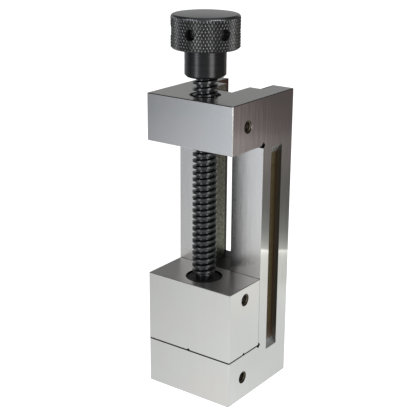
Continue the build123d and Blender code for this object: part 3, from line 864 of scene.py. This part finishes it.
def relief_zone(low, high):
    """One of the reliefs in the inner corners, painted dark as shade."""
    return spot(PAINTED_SHADE_BLACK, 0.6, (-FAR, bed_y + SKIN, low), (inner_x, bed_y + RELIEF_REACH, high))


def side_hole(y, z):
    """A tapped hole that runs inwards from a side, painted dark inside as shade."""
    return spot(PAINTED_HOLE_SHADE, 0.4, bore=((0, y, z), hole_radius, ALONG_X))


body_zones = [
    spot(BED_GREY, 0.27, (-FAR, bed_y - SKIN, fixed_top), (FAR, bed_y + SKIN, end_block_low)),
    spot(SIDE_GREY, 0.045, faces=SIDES),
    spot(END_GREY, 0.24, faces=ENDS),
    # Painted dark reflection on the sloped chamfers.
    spot(EDGE_PAINTED_DARK_REFLECTION, 0.3, faces=LEVEL_EDGES),
    spot(EDGE_DULL, 0.25, faces=UPRIGHT_EDGES, share=0.2),
    spot(
        MILLED_OLIVE, 0.42, (-FAR, bed_y + SKIN, past_low), (slot_half + SKIN, step_y + SKIN, past_high),
        second=MILLED_DARK,
    ),
    spot(RECESS_GREY, 0.4, (-FAR, step_y - SKIN, past_low), recess_corner),
    spot(RUSTY_OIL, 0.4, (-FAR, step_y - SKIN, end_block_low), recess_corner, second=RECESS_GREY),
    # Painted shadow on the bed just under the end block.
    spot(PAINTED_SHADE_BLACK, 0.5, (-FAR, bed_y - SKIN, end_block_low - UNDER_BLOCK), (FAR, bed_y + SKIN, end_block_low)),
    # Painted highlight on the lower front edge of the end block.
    spot(
        EDGE_PAINTED_HIGHLIGHT, 0.3, (-FAR, front, end_block_low - SKIN), (FAR, bed_y, end_block_low + MM),
        faces=LEVEL_EDGES,
    ),
    # Painted shade in the reliefs of the inner corners.
    relief_zone(fixed_top - RELIEF_REACH, fixed_top - SKIN),
    relief_zone(end_block_low + SKIN, end_block_low + RELIEF_REACH),
    strap_zone(strap_start, strap_end, SLOT_OLIVE, 0.3, second=SLOT_BROWN),
    # The run-outs: painted light at the upper end and painted shade at the lower end.
    strap_zone(strap_start, strap_middle, RUN_OUT_BROWN_PAINTED_SHADE, 0.3, faces=("Z", 0.05, 0.5)),
    strap_zone(strap_start, strap_middle, RUN_OUT_GREY_PAINTED_SHADE, 0.3, faces=("Z", 0.5, 1.0)),
    strap_zone(strap_middle, strap_end, RUN_OUT_OLIVE_PAINTED_LIT, 0.3, faces=("Z", 0.05, 0.45)),
    strap_zone(strap_middle, strap_end, RUN_OUT_PAINTED_HIGHLIGHT, 0.3, faces=("Z", 0.45, 1.0)),
    strap_zone(strap_start, strap_end, SLOT_SHADE, 0.35, faces=SLOT_WALLS),
    corner_line(0, CORNER_LINE, CORNER_OLIVE, 0.35),
    corner_line(CORNER_LINE, SECOND_LINE, SLOT_CORNER, 0.4),
    side_hole(fixed_hole_y, fixed_hole_z),
    side_hole(end_hole_y, end_hole_z),
    # Painted shade in the nut's mouth and its countersink.
    spot(
        PAINTED_SHADE_BLACK, 0.45, (-FAR, -FAR, end_block_low - MM), (FAR, FAR, past_high),
        bore=((0, 0, 0), NUT_MOUTH / 2, ALONG_Z),
    ),
    # Painted shade along the joint between the jaws.
    spot(PAINTED_SHADE_BLACK, 0.5, (-FAR, front, fixed_top - JOINT_EDGE), (FAR, bed_y, fixed_top - SKIN / 2)),
]
jaw_zones = [
    # Painted dark reflection on the sloped chamfers.
    spot(EDGE_PAINTED_DARK_REFLECTION, 0.3, faces=LEVEL_EDGES),
    spot(EDGE_DULL, 0.25, faces=UPRIGHT_EDGES, share=0.55),
    spot(TOP_GREY, 0.34, (-FAR, -FAR, jaw_high.z - SKIN), (FAR, FAR, past_high)),
    spot(RECESS_GREY, 0.35, (-FAR, bed_y + SKIN, past_low), (FAR, FAR, past_high)),
    # Painted shade along the joint between the jaws.
    spot(PAINTED_SHADE_BLACK, 0.5, (-FAR, front, jaw_low.z + SKIN / 2), (FAR, bed_y, jaw_low.z + JOINT_EDGE)),
    side_hole(0, groove_z),
    # Painted shade in the bore round the bush.
    spot(
        PAINTED_SHADE_BLACK, 0.4, (-FAR, -FAR, jaw_low.z + JAW_BORE_BOTTOM), (FAR, FAR, past_high),
        bore=((0, 0, 0), bush_radius + BUSH_GAP, ALONG_Z),
    ),
]

# %% [markdown]
# Black oxide is a thin skin on the steel. It stays black in hollows and wears to grey where fingers and
# the nut rub it, which is on the crests. A turned surface has fine rings round the axis, so its
# highlights are drawn out along the axis, into the long streaks that show on the collar.

# %% Black oxide
RING_WIDTH = 0.7 * MM
OXIDE_CLOUD = 6 * MM
SPECK_HEIGHT = 0.006 * MM
OXIDE_SHADE = 0.75, 1.3
RING_EDGES = 0.3, 0.7
RING_SHADE = 0.88, 1.14
RUBBED_OR_LIT_SHARE = 0.35, 1.0


def black_oxide(
    name, crest=None, rough=(0.24, 0.4), drawn=0.8, worn_or_lit=(0.3, 0.3, 0.3), colour=(0.036, 0.036, 0.037)
):
    """crest gives the radii where the lighter colour starts and is full: wear on crests, and in the tommy holes
    wear with painted light towards their bottom.
    """
    material, make, shader = start_material(name, colour, 0.9, Anisotropic=drawn, Anisotropic_Rotation=0.25)
    place, _ = place_and_facing(make)
    handled = make.group(HANDLING, Place=place, Size=OXIDE_CLOUD)
    clouds = handled["Clouds"]
    x, y, z = make.split(place)
    radius = make.vectors("LENGTH", make.join(x, y, 0.0))
    rings = make.noise(make.join(radius, 0.0, z), 1 / RING_WIDTH, 2.0)
    turned = make.vary(make.ramp(rings, *RING_EDGES), *RING_SHADE)
    shade = make.times(make.vary(clouds, *OXIDE_SHADE), turned)
    base = colour
    if crest:
        rubbed_or_lit = make.times(make.ramp(radius, *crest), make.vary(handled["Grit"], *RUBBED_OR_LIT_SHARE))
        base = make.mix("RGBA", rubbed_or_lit, colour, worn_or_lit)
    make.link(make.tint(base, shade), shader.inputs["Base Color"])
    make.link(make.vary(clouds, *rough), shader.inputs["Roughness"])
    ring = make.add("ShaderNodeTangent", direction_type="RADIAL", axis="Z")
    make.link(ring.outputs[0], shader.inputs["Tangent"])
    add_bump(make, shader, handled["Specks"], SPECK_HEIGHT)
    return material


GROUND_BODY = ground_steel("ground steel body", body_zones)
GROUND_JAW = ground_steel("ground steel jaw", jaw_zones)
MILLED_STEEL = ground_steel(
    "milled steel", (), (0.038, 0.038, 0.037), 0.25, 0.4, 0.2, drawn=0.4, feed=((0, 1, 0), 1.25 * MM)
)
POLISHED = ground_steel("polished steel", (), (0.55, 0.56, 0.58), 0.06, 0.12, 0.02, drawn=0.0)
SPRING = ground_steel("spring steel", (), (0.16, 0.16, 0.17), 0.3, 0.4, 0.1, drawn=0.0)
OXIDE = black_oxide("black oxide")
# The ridges in the tapped holes are painted as dark as the holes, as shade.
THREAD_IN_HOLE = ground_steel("thread in a hole", (), (0.1, 0.085, 0.065), 0.3, 0.45, 0.2, drawn=0.0)
THREAD_OXIDE = black_oxide(
    "black oxide thread", (5.7 * MM, 5.95 * MM), (0.2, 0.32), 0.7, (0.065, 0.066, 0.07), (0.045, 0.046, 0.048)
)
KNURL_OXIDE = black_oxide(
    "black oxide knurl", (15.95 * MM, 16.42 * MM), (0.22, 0.3), 0.0, (0.2, 0.2, 0.2), (0.04, 0.04, 0.041)
)
BUSH_OXIDE = black_oxide("black oxide bush", None, (0.55, 0.68), 0.0, colour=(0.035, 0.036, 0.038))
# A lighter, smoother copy of the black oxide for the crown and the top face. It is partly polished wear and
# partly a painted sheen that brightens them and the crown's highlights.
CROWN_OXIDE = black_oxide("black oxide crown", None, (0.1, 0.17), 0.3, colour=(0.09, 0.092, 0.096))
# Darker near the mouths of the tommy holes and lighter deep inside: partly bare metal worn by the bar, partly
# painted light on their lit bottom.
HOLE_OXIDE = black_oxide("black oxide holes", (12.2 * MM, 9.6 * MM), (0.5, 0.6), 0.0, (0.48, 0.48, 0.48))
print("materials", [m.name for m in bpy.data.materials])

# %% [markdown]
# ## The knob
# The head and its collar are one turned piece. The outline is written as a maker would dimension it:
# the blind bore, the collar, the head with its rolled knurl and the rounded crown. Six tommy-bar holes
# are drilled into it afterwards, and the cross hole for the pin.

# %% Knob
HEAD_HEIGHT = 15.7 * MM
COLLAR_RADIUS = 9.9 * MM
CROWN = 1.5 * MM
CROWN_STEPS = 6
EDGE_BREAK = 0.8 * MM
COLLAR_BREAK = 1.0 * MM
SPIGOT_BORE = 4.22 * MM
BORE_DEPTH = 18.5 * MM
KNURL_START = 0.1 * MM
KNURL_ROUND = 63
KNURL_HEIGHT = 2.9 * MM
KNURL_DEPTH = 0.45 * MM
HALF_ROLLED = 0.35
FLAT_TOP = 0.85
STEPS_PER_DIAMOND = 8
TOMMY_HOLES = 6
TOMMY_HOLE = 5.2 * MM
TOMMY_MOUTH = 0.3 * MM
TOMMY_DEPTH = 7.1 * MM
TOMMY_POINT = 1.5 * MM
TOMMY_ANGLE = -80.2
PIN_HOLE = 3.04 * MM
PIN_HEIGHT = 6.6 * MM
PIN_ANGLE = 39.8
REACH = 11 * MM
KNOB_SHARP = math.radians(20)

head_radius = knob_high.x
head_top = knob_high.z
head_low = head_top - HEAD_HEIGHT
head_middle = (head_low + head_top) / 2
band_high = head_top - CROWN
collar_low = knob_low.z


def arc(centre_r, centre_z, radius, start, end, steps):
    """Points of an arc, angles in degrees from the outward direction."""
    points = []
    for step in range(steps + 1):
        angle = math.radians(start + (end - start) * step / steps)
        points.append((centre_r + radius * math.cos(angle), centre_z + radius * math.sin(angle)))
    return points


def knob_outline():
    """The outline, how deep the knurl is at each of its points, and where and how high a diamond is."""
    bore = [(0, collar_low + BORE_DEPTH), (SPIGOT_BORE, collar_low + BORE_DEPTH), (SPIGOT_BORE, collar_low)]
    collar = [
        (COLLAR_RADIUS - COLLAR_BREAK, collar_low),
        (COLLAR_RADIUS, collar_low + COLLAR_BREAK),
        (COLLAR_RADIUS, head_low),
        (head_radius - EDGE_BREAK, head_low),
        (head_radius - KNURL_START, head_low + EDGE_BREAK - KNURL_START),
    ]
    band_low = head_low + EDGE_BREAK
    steps = round((band_high - band_low) * STEPS_PER_DIAMOND / KNURL_HEIGHT)
    step = (band_high - band_low) / steps
    band = [(head_radius, band_low + (band_high - band_low) * k / steps) for k in range(steps + 1)]
    crown = arc(head_radius - CROWN, band_high, CROWN, 0, 90, CROWN_STEPS)[1:] + [(0, head_top)]
    marks = [0.0] * len(bore + collar) + [1.0] * len(band) + [HALF_ROLLED] + [0.0] * (len(crown) - 1)
    return bore + collar + band + crown, marks, band_low, step * STEPS_PER_DIAMOND


outline, marks, knurl_base, diamond_height = knob_outline()
knob = turned_piece(
    "knob_head",
    outline,
    columns=STEPS_PER_DIAMOND * KNURL_ROUND,
    marks=marks,
    Diamonds_Round=float(KNURL_ROUND),
    Diamond_Height=diamond_height,
    Knurl_Base=knurl_base,
    Knurl_Depth=KNURL_DEPTH,
    Flat_Top=FLAT_TOP,
    Material=OXIDE,
)
use_tree(
    knob,
    DRILLED,
    Holes=TOMMY_HOLES,
    Hole_Radius=TOMMY_HOLE / 2,
    Inner_Reach=head_radius - TOMMY_DEPTH,
    Outer_Reach=head_radius + MM,
    Surface=head_radius,
    Mouth=TOMMY_MOUTH,
    Point_Height=TOMMY_POINT,
    Height=head_middle,
    First_Angle=math.radians(TOMMY_ANGLE),
    Material=OXIDE,
)
bake_modifiers(knob)


def pin_drill(name):
    """A rod across the collar, where the spring pin goes."""
    radius = PIN_HOLE / 2
    rod = turned_piece(name, [(0, -REACH), (radius, -REACH), (radius, REACH), (0, REACH)], columns=32)
    turn = Matrix.Rotation(math.radians(PIN_ANGLE), 4, "Z") @ Matrix.Rotation(math.pi / 2, 4, "Y")
    rod.data.transform(Matrix.Translation((0, 0, collar_low + PIN_HEIGHT)) @ turn)
    return close_and_smooth(rod)


boolean(knob, pin_drill("pin drill"), "DIFFERENCE")
close_and_smooth(knob, sharp=KNOB_SHARP)

# %% [markdown]
# The knob's faces get one of four finishes, by where they lie.

# %% Finishes of the knob
PLAIN, KNURLED, ROUNDED, DRILLED_IN = range(4)
knob.data.materials.clear()
for finish in (OXIDE, KNURL_OXIDE, CROWN_OXIDE, HOLE_OXIDE):
    knob.data.materials.append(finish)
rolled_low = head_low + EDGE_BREAK / 2
rolled_radius = head_radius - KNURL_DEPTH - EDGE_BREAK / 2
hole_half = TOMMY_HOLE / 2 + EDGE_BREAK / 2
hole_end = head_radius - TOMMY_DEPTH - 2 * TOMMY_POINT


def part_of_knob(centre):
    """Which finish a face of the knob gets, from where it lies."""
    across = math.hypot(centre.x, centre.y)
    if rolled_low < centre.z < band_high and across > rolled_radius:
        return KNURLED
    if centre.z > band_high:
        return ROUNDED
    if abs(centre.z - head_middle) < hole_half and across > hole_end:
        return DRILLED_IN
    return PLAIN


for face in knob.data.polygons:
    face.material_index = part_of_knob(face.center)
print("faces by finish", [sum(f.material_index == k for f in knob.data.polygons) for k in range(4)])
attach(knob, "screw")
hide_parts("knob")

# %% [markdown]
# ## The lead screw
# The thread's outline is a trapezoid with its four corners eased. One pitch of it goes into the thread
# tree, and the tube that comes out is cut square at the collar and joined to a turned core.

# %% Lead screw
EASED = 0.14 * MM
NECK_RADIUS = 4.2 * MM
NECK_SHOWING = 1.2 * MM


def thread_outline(pitch, depth, flank, eased):
    """One pitch of a trapezoidal thread: (height above the root, place along the axis)."""
    slope = math.tan(flank)
    side = depth * slope
    crest = (pitch / 2 - side) / 2
    foot = crest + side
    rise, up, along = eased / math.cos(flank), eased * 0.15, eased * 0.2
    half = [
        (0, foot + eased),
        (up, foot + along),
        (rise, foot - rise * slope),
        (depth - rise, crest + rise * slope),
        (depth - up, crest - along),
        (depth, crest - eased),
    ]
    return [(h, pitch / 2 - away) for h, away in half] + [(h, pitch / 2 + away) for h, away in reversed(half)]


thread_low = jaw_high.z + NECK_SHOWING
thread_high = collar_low
base = thread_low - 2 * THREAD_PITCH
turns = math.ceil((thread_high - base) / THREAD_PITCH) + 2
mesh = outline_mesh("thread outline", thread_outline(THREAD_PITCH, THREAD_DEPTH, THREAD_FLANK, EASED))
screw = new_piece("lead_screw_thread", mesh)
use_tree(
    screw,
    THREAD,
    Turns=turns,
    Pitch=THREAD_PITCH,
    Root_Radius=root_radius,
    Base=base - THREAD_PITCH / 2,
    Start_Angle=THREAD_PHASE + math.tau * base / THREAD_PITCH,
    Lead_In_Low=thread_low,
    Lead_In_High=thread_high + 1.0,
    Material=THREAD_OXIDE,
)
bake_modifiers(screw)
trim_between(screw, thread_low, thread_high)
close_and_smooth(screw)
print("thread made, from", round(thread_low / MM, 2), "to", round(thread_high / MM, 2), "mm")

# %% [markdown]
# The core passes through the thread: a neck with the groove that the set screws run in, the seat of the
# thrust ball, and the spigot that the knob is pinned to.

# %% Screw core
BALL_SEAT = 2.2 * MM
GROOVE_RADIUS = 3.0 * MM
GROOVE_HALF = 2.1 * MM
SPIGOT_BREAK = 0.5 * MM
core_outline = [
    (0, screw_low.z + BALL_SEAT),
    (BALL_SEAT, screw_low.z),
    (NECK_RADIUS - SPIGOT_BREAK, screw_low.z),
    (NECK_RADIUS, screw_low.z + SPIGOT_BREAK),
    (NECK_RADIUS, groove_z - GROOVE_HALF),
    (GROOVE_RADIUS, groove_z - GROOVE_HALF),
    (GROOVE_RADIUS, groove_z + GROOVE_HALF),
    (NECK_RADIUS, groove_z + GROOVE_HALF),
    (NECK_RADIUS, screw_high.z - SPIGOT_BREAK),
    (NECK_RADIUS - SPIGOT_BREAK, screw_high.z),
    (0, screw_high.z),
]
core = close_and_smooth(turned_piece("screw core", core_outline, columns=72, Material=THREAD_OXIDE))
boolean(screw, core, "UNION")
boolean(screw, pin_drill("pin drill"), "DIFFERENCE")
close_and_smooth(screw)
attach(screw, "screw")
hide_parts("lead_screw")

# %% [markdown]
# ## Threads in the tapped holes
# Two holes in each side of the body and one in each side of the jaw. The ridges start just below the
# countersink. In the body they stop at the hole's full depth, and in the jaw at the set screw's back.

# %% Threads in the tapped holes
HOLE_RADIUS = 3.0 * MM
INTO_WALL = 0.02 * MM
COARSE_PITCH = 1.0 * MM
TAPPED_DEPTH = 12.0 * MM
RIDGE_HEIGHT = 0.52 * MM
BELOW_MOUTH = 0.7 * MM
END_SPARE = 0.6 * MM


def tapped_threads(name, body, holes, depth):
    """Ridges for holes that run inwards from both sides. holes is a list of (place along y, height)."""
    sides = [side for side in (1, -1) for _ in holes]
    places = [(side * (body_high.x - BELOW_MOUTH), *hole) for side, hole in zip(sides, holes * 2)]
    mesh = bpy.data.meshes.new(name)
    mesh.from_pydata(places, [], [])
    heading = mesh.attributes.new("heading", "FLOAT_VECTOR", "POINT")
    heading.data.foreach_set("vector", [value for side in sides for value in (-side, 0, 0)])
    piece = new_piece(name, mesh)
    use_tree(
        piece,
        TAPPED,
        Wall_Radius=HOLE_RADIUS + INTO_WALL,
        Pitch=COARSE_PITCH,
        Ridge_Height=RIDGE_HEIGHT,
        Turns=(depth - BELOW_MOUTH - END_SPARE) / COARSE_PITCH,
        Material=THREAD_IN_HOLE,
    )
    bake_modifiers(piece)
    close_and_smooth(piece, weld=1e-7)
    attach(piece, body)


body_holes = [(fixed_hole_y, fixed_hole_z), (end_hole_y, end_hole_z)]
tapped_threads("tapped_threads_body", "body", body_holes, TAPPED_DEPTH)
tapped_threads("tapped_threads_jaw", "jaw", [(0, groove_z)], body_high.x - set_screw_high.x)

# %% [markdown]
# ## Finishes on the solids
# A solid gets the finish that is named for its node, or else the one for its material slot.

# %% Paint the solids
FINISH_OF_SLOT = {
    "black_oxide_steel": OXIDE,
    "milled_steel": MILLED_STEEL,
    "hardened_steel": POLISHED,
    "spring_steel": SPRING,
}
FINISH_OF_NODE = {"vise_body": GROUND_BODY, "moving_jaw": GROUND_JAW, "screw_bush": BUSH_OXIDE}
for part in frame["record"]["subparts"]:
    name = part["node"]
    solid = nodes[name]
    solid.data.materials.clear()
    solid.data.materials.append(FINISH_OF_NODE.get(name) or FINISH_OF_SLOT[part["material_slot"]])

# %% [markdown]
# ## Floor, light and camera
# Steel shows what stands round it, so the room is a part of the look. The floor is white card to the
# camera. To every other ray it has a brightness of its own, drawn out by distance and by direction, which
# stands for the cards and lamps of a studio. Directions are azimuths in degrees, from the front (-y) to
# the right (+x), and distances are in metres.

# %% Floor
FLOOR_REACH = 6.0
FLOOR_GAP = 0.1 * MM
floor_mesh = bpy.data.meshes.new("floor")
corners = [(x * FLOOR_REACH, y * FLOOR_REACH) for x, y in ((-1, -1), (1, -1), (1, 1), (-1, 1))]
floor_mesh.from_pydata([(x, y, body_low.z - FLOOR_GAP) for x, y in corners], [], [(0, 1, 2, 3)])
floor = new_piece("floor", floor_mesh)


def compass(azimuth, rise=0.0):
    """A direction over the floor."""
    angle = math.radians(azimuth)
    return Vector((math.sin(angle), -math.cos(angle), rise))


def reach_towards(make, place, azimuth):
    """How far a point of the floor lies along a direction."""
    return make.vectors("DOT_PRODUCT", place, compass(azimuth))


def paper_profile(make, reach, stops):
    """Brightness along one direction, from a list of (reach, brightness)."""
    first, last = stops[0][0], stops[-1][0]
    most = max(value for _, value in stops)
    share = make.map_range(reach, {"From Min": first, "From Max": last})
    node = make.add("ShaderNodeFloatCurve", {"Value": share})
    curve = node.mapping.curves[0]
    for place, value in stops[1:-1]:
        curve.points.new((place - first) / (last - first), value / most)
    curve.points[0].location = (0, stops[0][1] / most)
    curve.points[-1].location = (1, stops[-1][1] / most)
    for point in curve.points:
        point.handle_type = "VECTOR"
    node.mapping.update()
    return make.times(node.outputs["Value"], most)


# %% [markdown]
# In front of the vise the card is lit evenly and fades. Beside its right side it follows a profile of its
# own, because that side mirrors it at a low angle. Painted pools of light lie under the lamps.

# %% Paper
FRONT_WAY = -37
FRONT_LIGHT = 0.935
FRONT_FADE = -0.7
FRONT_SLANT = 3.7
FRONT_LIMITS = 0.25, 1.3
RIGHT_WAY = 142.8
RIGHT_EDGE = [
    (0.0, 0.83), (0.06, 0.92), (0.12, 0.97), (0.17, 1.03), (0.18, 1.08), (0.19, 1.1),
    (0.2, 1.14), (0.208, 1.18), (0.2155, 1.35), (0.2215, 1.75), (0.2235, 0.84), (0.232, 0.69),
    (0.242, 0.54), (0.263, 0.37), (0.285, 0.29), (0.308, 0.235), (0.333, 0.215), (0.388, 0.23),
    (0.45, 0.29), (0.515, 0.31), (0.537, 0.285), (0.561, 0.24), (0.613, 0.21), (0.7, 0.19),
]
BESIDE = 0.0, 0.09
SHADED_FROM = 0.14, 0.18
SHADED_LESS_FROM = 0.24, 0.34
SHADED_LESS = 1.2
SHADED_LIGHT = 0.95
SHADED_FADE = -10.0
SHADED_LIMITS = 0.5, 1.07
FAR_BACK = -144
FAR_BACK_REACH = 0.2, 0.6
FAR_BACK_SHARE = 0.5
BEHIND = math.radians(152), math.radians(162)
BEHIND_END = 0.85, 0.7
BEHIND_GLOW = 0.7
CAMERA_SIDE_START = 0.1, 0.22
CAMERA_SIDE_SHARE = 0.45
LEFT_LAMP = -8
RIGHT_LAMP = 71
POOL_START = 0.15, 0.22
POOL_FADE = 0.9, 1.05
LEFT_POOL_FAR = 0.85
RIGHT_POOL_FAR = 0.35
POOL_GLOW = 1.4
WALL_START = 1.0, 1.06
# Slices of the floor: the middle, half of the width and the soft edge, in degrees.
LEFT_BACK = -132, 26, 14
CAMERA_SIDE = 35, 50, 14
LEFT_POOL = LEFT_LAMP, 9, 10
RIGHT_POOL = RIGHT_LAMP, 12, 14
LEFT_WALL = -90, 20, 14


def front_glow(make, place):
    """In front, the card fades away from the vise and towards the left."""
    away = reach_towards(make, place, FRONT_WAY)
    sideways = reach_towards(make, place, FRONT_WAY + 90)
    slanted = make.math("MULTIPLY_ADD", sideways, FRONT_SLANT, FRONT_LIGHT)
    return make.clamp(make.math("MULTIPLY_ADD", away, FRONT_FADE, slanted), *FRONT_LIMITS)


def right_glow(make, place, rightward):
    """On the right, the card follows its profile and is shaded towards one end."""
    backward = reach_towards(make, place, RIGHT_WAY + 90)
    shaded = make.clamp(make.math("MULTIPLY_ADD", backward, SHADED_FADE, SHADED_LIGHT), *SHADED_LIMITS)
    shaded = make.times(shaded, make.vary(make.ramp(rightward, *SHADED_LESS_FROM), 1.0, SHADED_LESS))
    shaded = make.mix("FLOAT", make.ramp(rightward, *SHADED_FROM), 1.0, shaded)
    return make.times(paper_profile(make, rightward, RIGHT_EDGE), shaded)


def paper_glow(make, place):
    """What each part of the card sends to the steel."""
    rightward = reach_towards(make, place, RIGHT_WAY)
    beside = make.ramp(rightward, *BESIDE)
    glow = make.mix("FLOAT", beside, front_glow(make, place), right_glow(make, place, rightward))
    far_back = make.ramp(reach_towards(make, place, FAR_BACK), *FAR_BACK_REACH)
    glow = make.times(glow, make.vary(far_back, 1.0, FAR_BACK_SHARE))
    x, y, _ = make.split(place)
    azimuth = make.math("ARCTAN2", x, make.times(y, -1.0))
    distance = make.vectors("LENGTH", place)

    def sector(middle, half, soft):
        """1 inside a slice of the floor, 0 outside it, with soft edges."""
        off = make.math("ABSOLUTE", make.minus(azimuth, math.radians(middle)))
        return make.ramp(off, math.radians(half + soft / 2), math.radians(half - soft / 2))

    behind = make.ramp(make.math("ABSOLUTE", azimuth), *BEHIND)
    behind = make.math("MAXIMUM", behind, sector(*LEFT_BACK))
    behind = make.times(behind, make.ramp(distance, *BEHIND_END))
    glow = make.mix("FLOAT", behind, glow, BEHIND_GLOW)
    camera_side = make.times(sector(*CAMERA_SIDE), make.ramp(distance, *CAMERA_SIDE_START))
    glow = make.times(glow, make.vary(camera_side, 1.0, CAMERA_SIDE_SHARE))
    far = make.ramp(distance, *POOL_FADE)
    # Painted pools of light on the card, under the two lamps.
    left = make.times(sector(*LEFT_POOL), make.vary(far, 1.0, LEFT_POOL_FAR))
    right = make.times(sector(*RIGHT_POOL), make.vary(far, 1.0, RIGHT_POOL_FAR))
    lamps = make.times(make.plus(left, right), make.ramp(distance, *POOL_START))
    wall = make.times(sector(*LEFT_WALL), make.ramp(distance, *WALL_START))
    return make.math("MULTIPLY_ADD", make.plus(lamps, wall), POOL_GLOW, glow)


def paper_material():
    """White card to the camera, and its own brightness and tint to every other ray."""
    material, make, shader = start_material(
        "paper", (0.8, 0.8, 0.8), 0.0, Roughness=0.9, Emission_Color=(1, 1, 1, 1), Emission_Strength=1.0
    )
    place = make.add("ShaderNodeTexCoord").outputs["Object"]
    colour = (0.985, 1.01, 0.99)
    for azimuth, start, end, further in (
        (FRONT_WAY, 0.05, 0.5, (0.95, 1.0, 1.06)),
        (RIGHT_WAY, 0.1, 0.2, (1.0, 1.01, 0.95)),
        (RIGHT_WAY, 0.24, 0.62, (1.14, 0.97, 0.94)),
    ):
        colour = make.mix("RGBA", make.ramp(reach_towards(make, place, azimuth), start, end), colour, further)
    glow = make.tint(colour, paper_glow(make, place))
    light = make.add("ShaderNodeEmission", {"Color": glow, "Strength": 1.0}).outputs[0]
    camera_ray = make.add("ShaderNodeLightPath").outputs["Is Camera Ray"]
    mix = make.add("ShaderNodeMixShader", {0: camera_ray, 1: light, 2: shader.outputs[0]})
    output = [n for n in make.tree.nodes if n.type == "OUTPUT_MATERIAL"][0]
    make.link(mix.outputs[0], output.inputs["Surface"])
    return material


floor_mesh.materials.append(paper_material())

# %% [markdown]
# The backdrop's brightness goes by height. One soft window stands in it, in front and to the left. The
# camera sees plain white instead.

# %% World
BACKDROP = [
    (0.0, 0.48), (0.14, 0.46), (0.17, 0.48), (0.2, 0.52), (0.24, 0.5),
    (0.28, 0.4), (0.39, 0.28), (0.6, 0.16), (0.85, 0.16), (1.0, 0.35),
]
WINDOW_AZIMUTH = -37
WINDOW_HEIGHT = math.radians(26)
WINDOW_WAY = compass(WINDOW_AZIMUTH, math.tan(WINDOW_HEIGHT)).normalized()
WINDOW_EDGE = 0.88, 0.97
WINDOW_GLOW = 0.6

scene = bpy.context.scene
scene.view_settings.view_transform = "Standard"
world = bpy.data.worlds.new("studio")
scene.world = world
world.use_nodes = True
world.node_tree.nodes.clear()
make = Recipe(world.node_tree)
direction = make.add("ShaderNodeTexCoord").outputs["Generated"]
shade = paper_profile(make, make.split(direction)[2], BACKDROP)
window = make.ramp(make.vectors("DOT_PRODUCT", direction, WINDOW_WAY), *WINDOW_EDGE)
shade = make.math("MULTIPLY_ADD", window, WINDOW_GLOW, shade)
camera_ray = make.add("ShaderNodeLightPath").outputs["Is Camera Ray"]
background = make.add("ShaderNodeBackground", {"Strength": make.mix("FLOAT", camera_ray, shade, 1.0)})
make.add("ShaderNodeOutputWorld", {"Surface": background.outputs[0]})

# %% Softboxes
LAMP_AIM = Vector((0, 0, 0.09))


def softbox(name, azimuth, distance, height, width, tall, power):
    """An upright area light that faces the screw."""
    light = bpy.data.lights.new(name, "AREA")
    light.shape = "RECTANGLE"
    light.size = width
    light.size_y = tall
    light.energy = power
    lamp = bpy.data.objects.new(name, light)
    lamp.location = compass(azimuth) * distance + Vector((0, 0, height))
    lamp.rotation_euler = (LAMP_AIM - lamp.location).to_track_quat("-Z", "Y").to_euler()
    lamp.visible_camera = False
    scene.collection.objects.link(lamp)


softbox("left softbox", LEFT_LAMP - 5, distance=0.45, height=0.2, width=0.12, tall=0.34, power=0.5)
softbox("right softbox", RIGHT_LAMP, distance=0.45, height=0.2, width=0.2, tall=0.34, power=1.0)
softbox("overhead", 0, distance=0.01, height=1.1, width=1.2, tall=1.2, power=1.0)

# %% Camera
CAMERA_LENS = 86.36
CAMERA_PLACE = 0.2734, -0.3736, 0.2544
CAMERA_TURN = 71.17, -0.42, 36.13
camera_data = bpy.data.cameras.new("camera")
camera_data.sensor_width = 36.0
camera_data.lens = CAMERA_LENS
camera = bpy.data.objects.new("camera", camera_data)
camera.location = CAMERA_PLACE
camera.rotation_euler = [math.radians(angle) for angle in CAMERA_TURN]
scene.collection.objects.link(camera)
scene.camera = camera
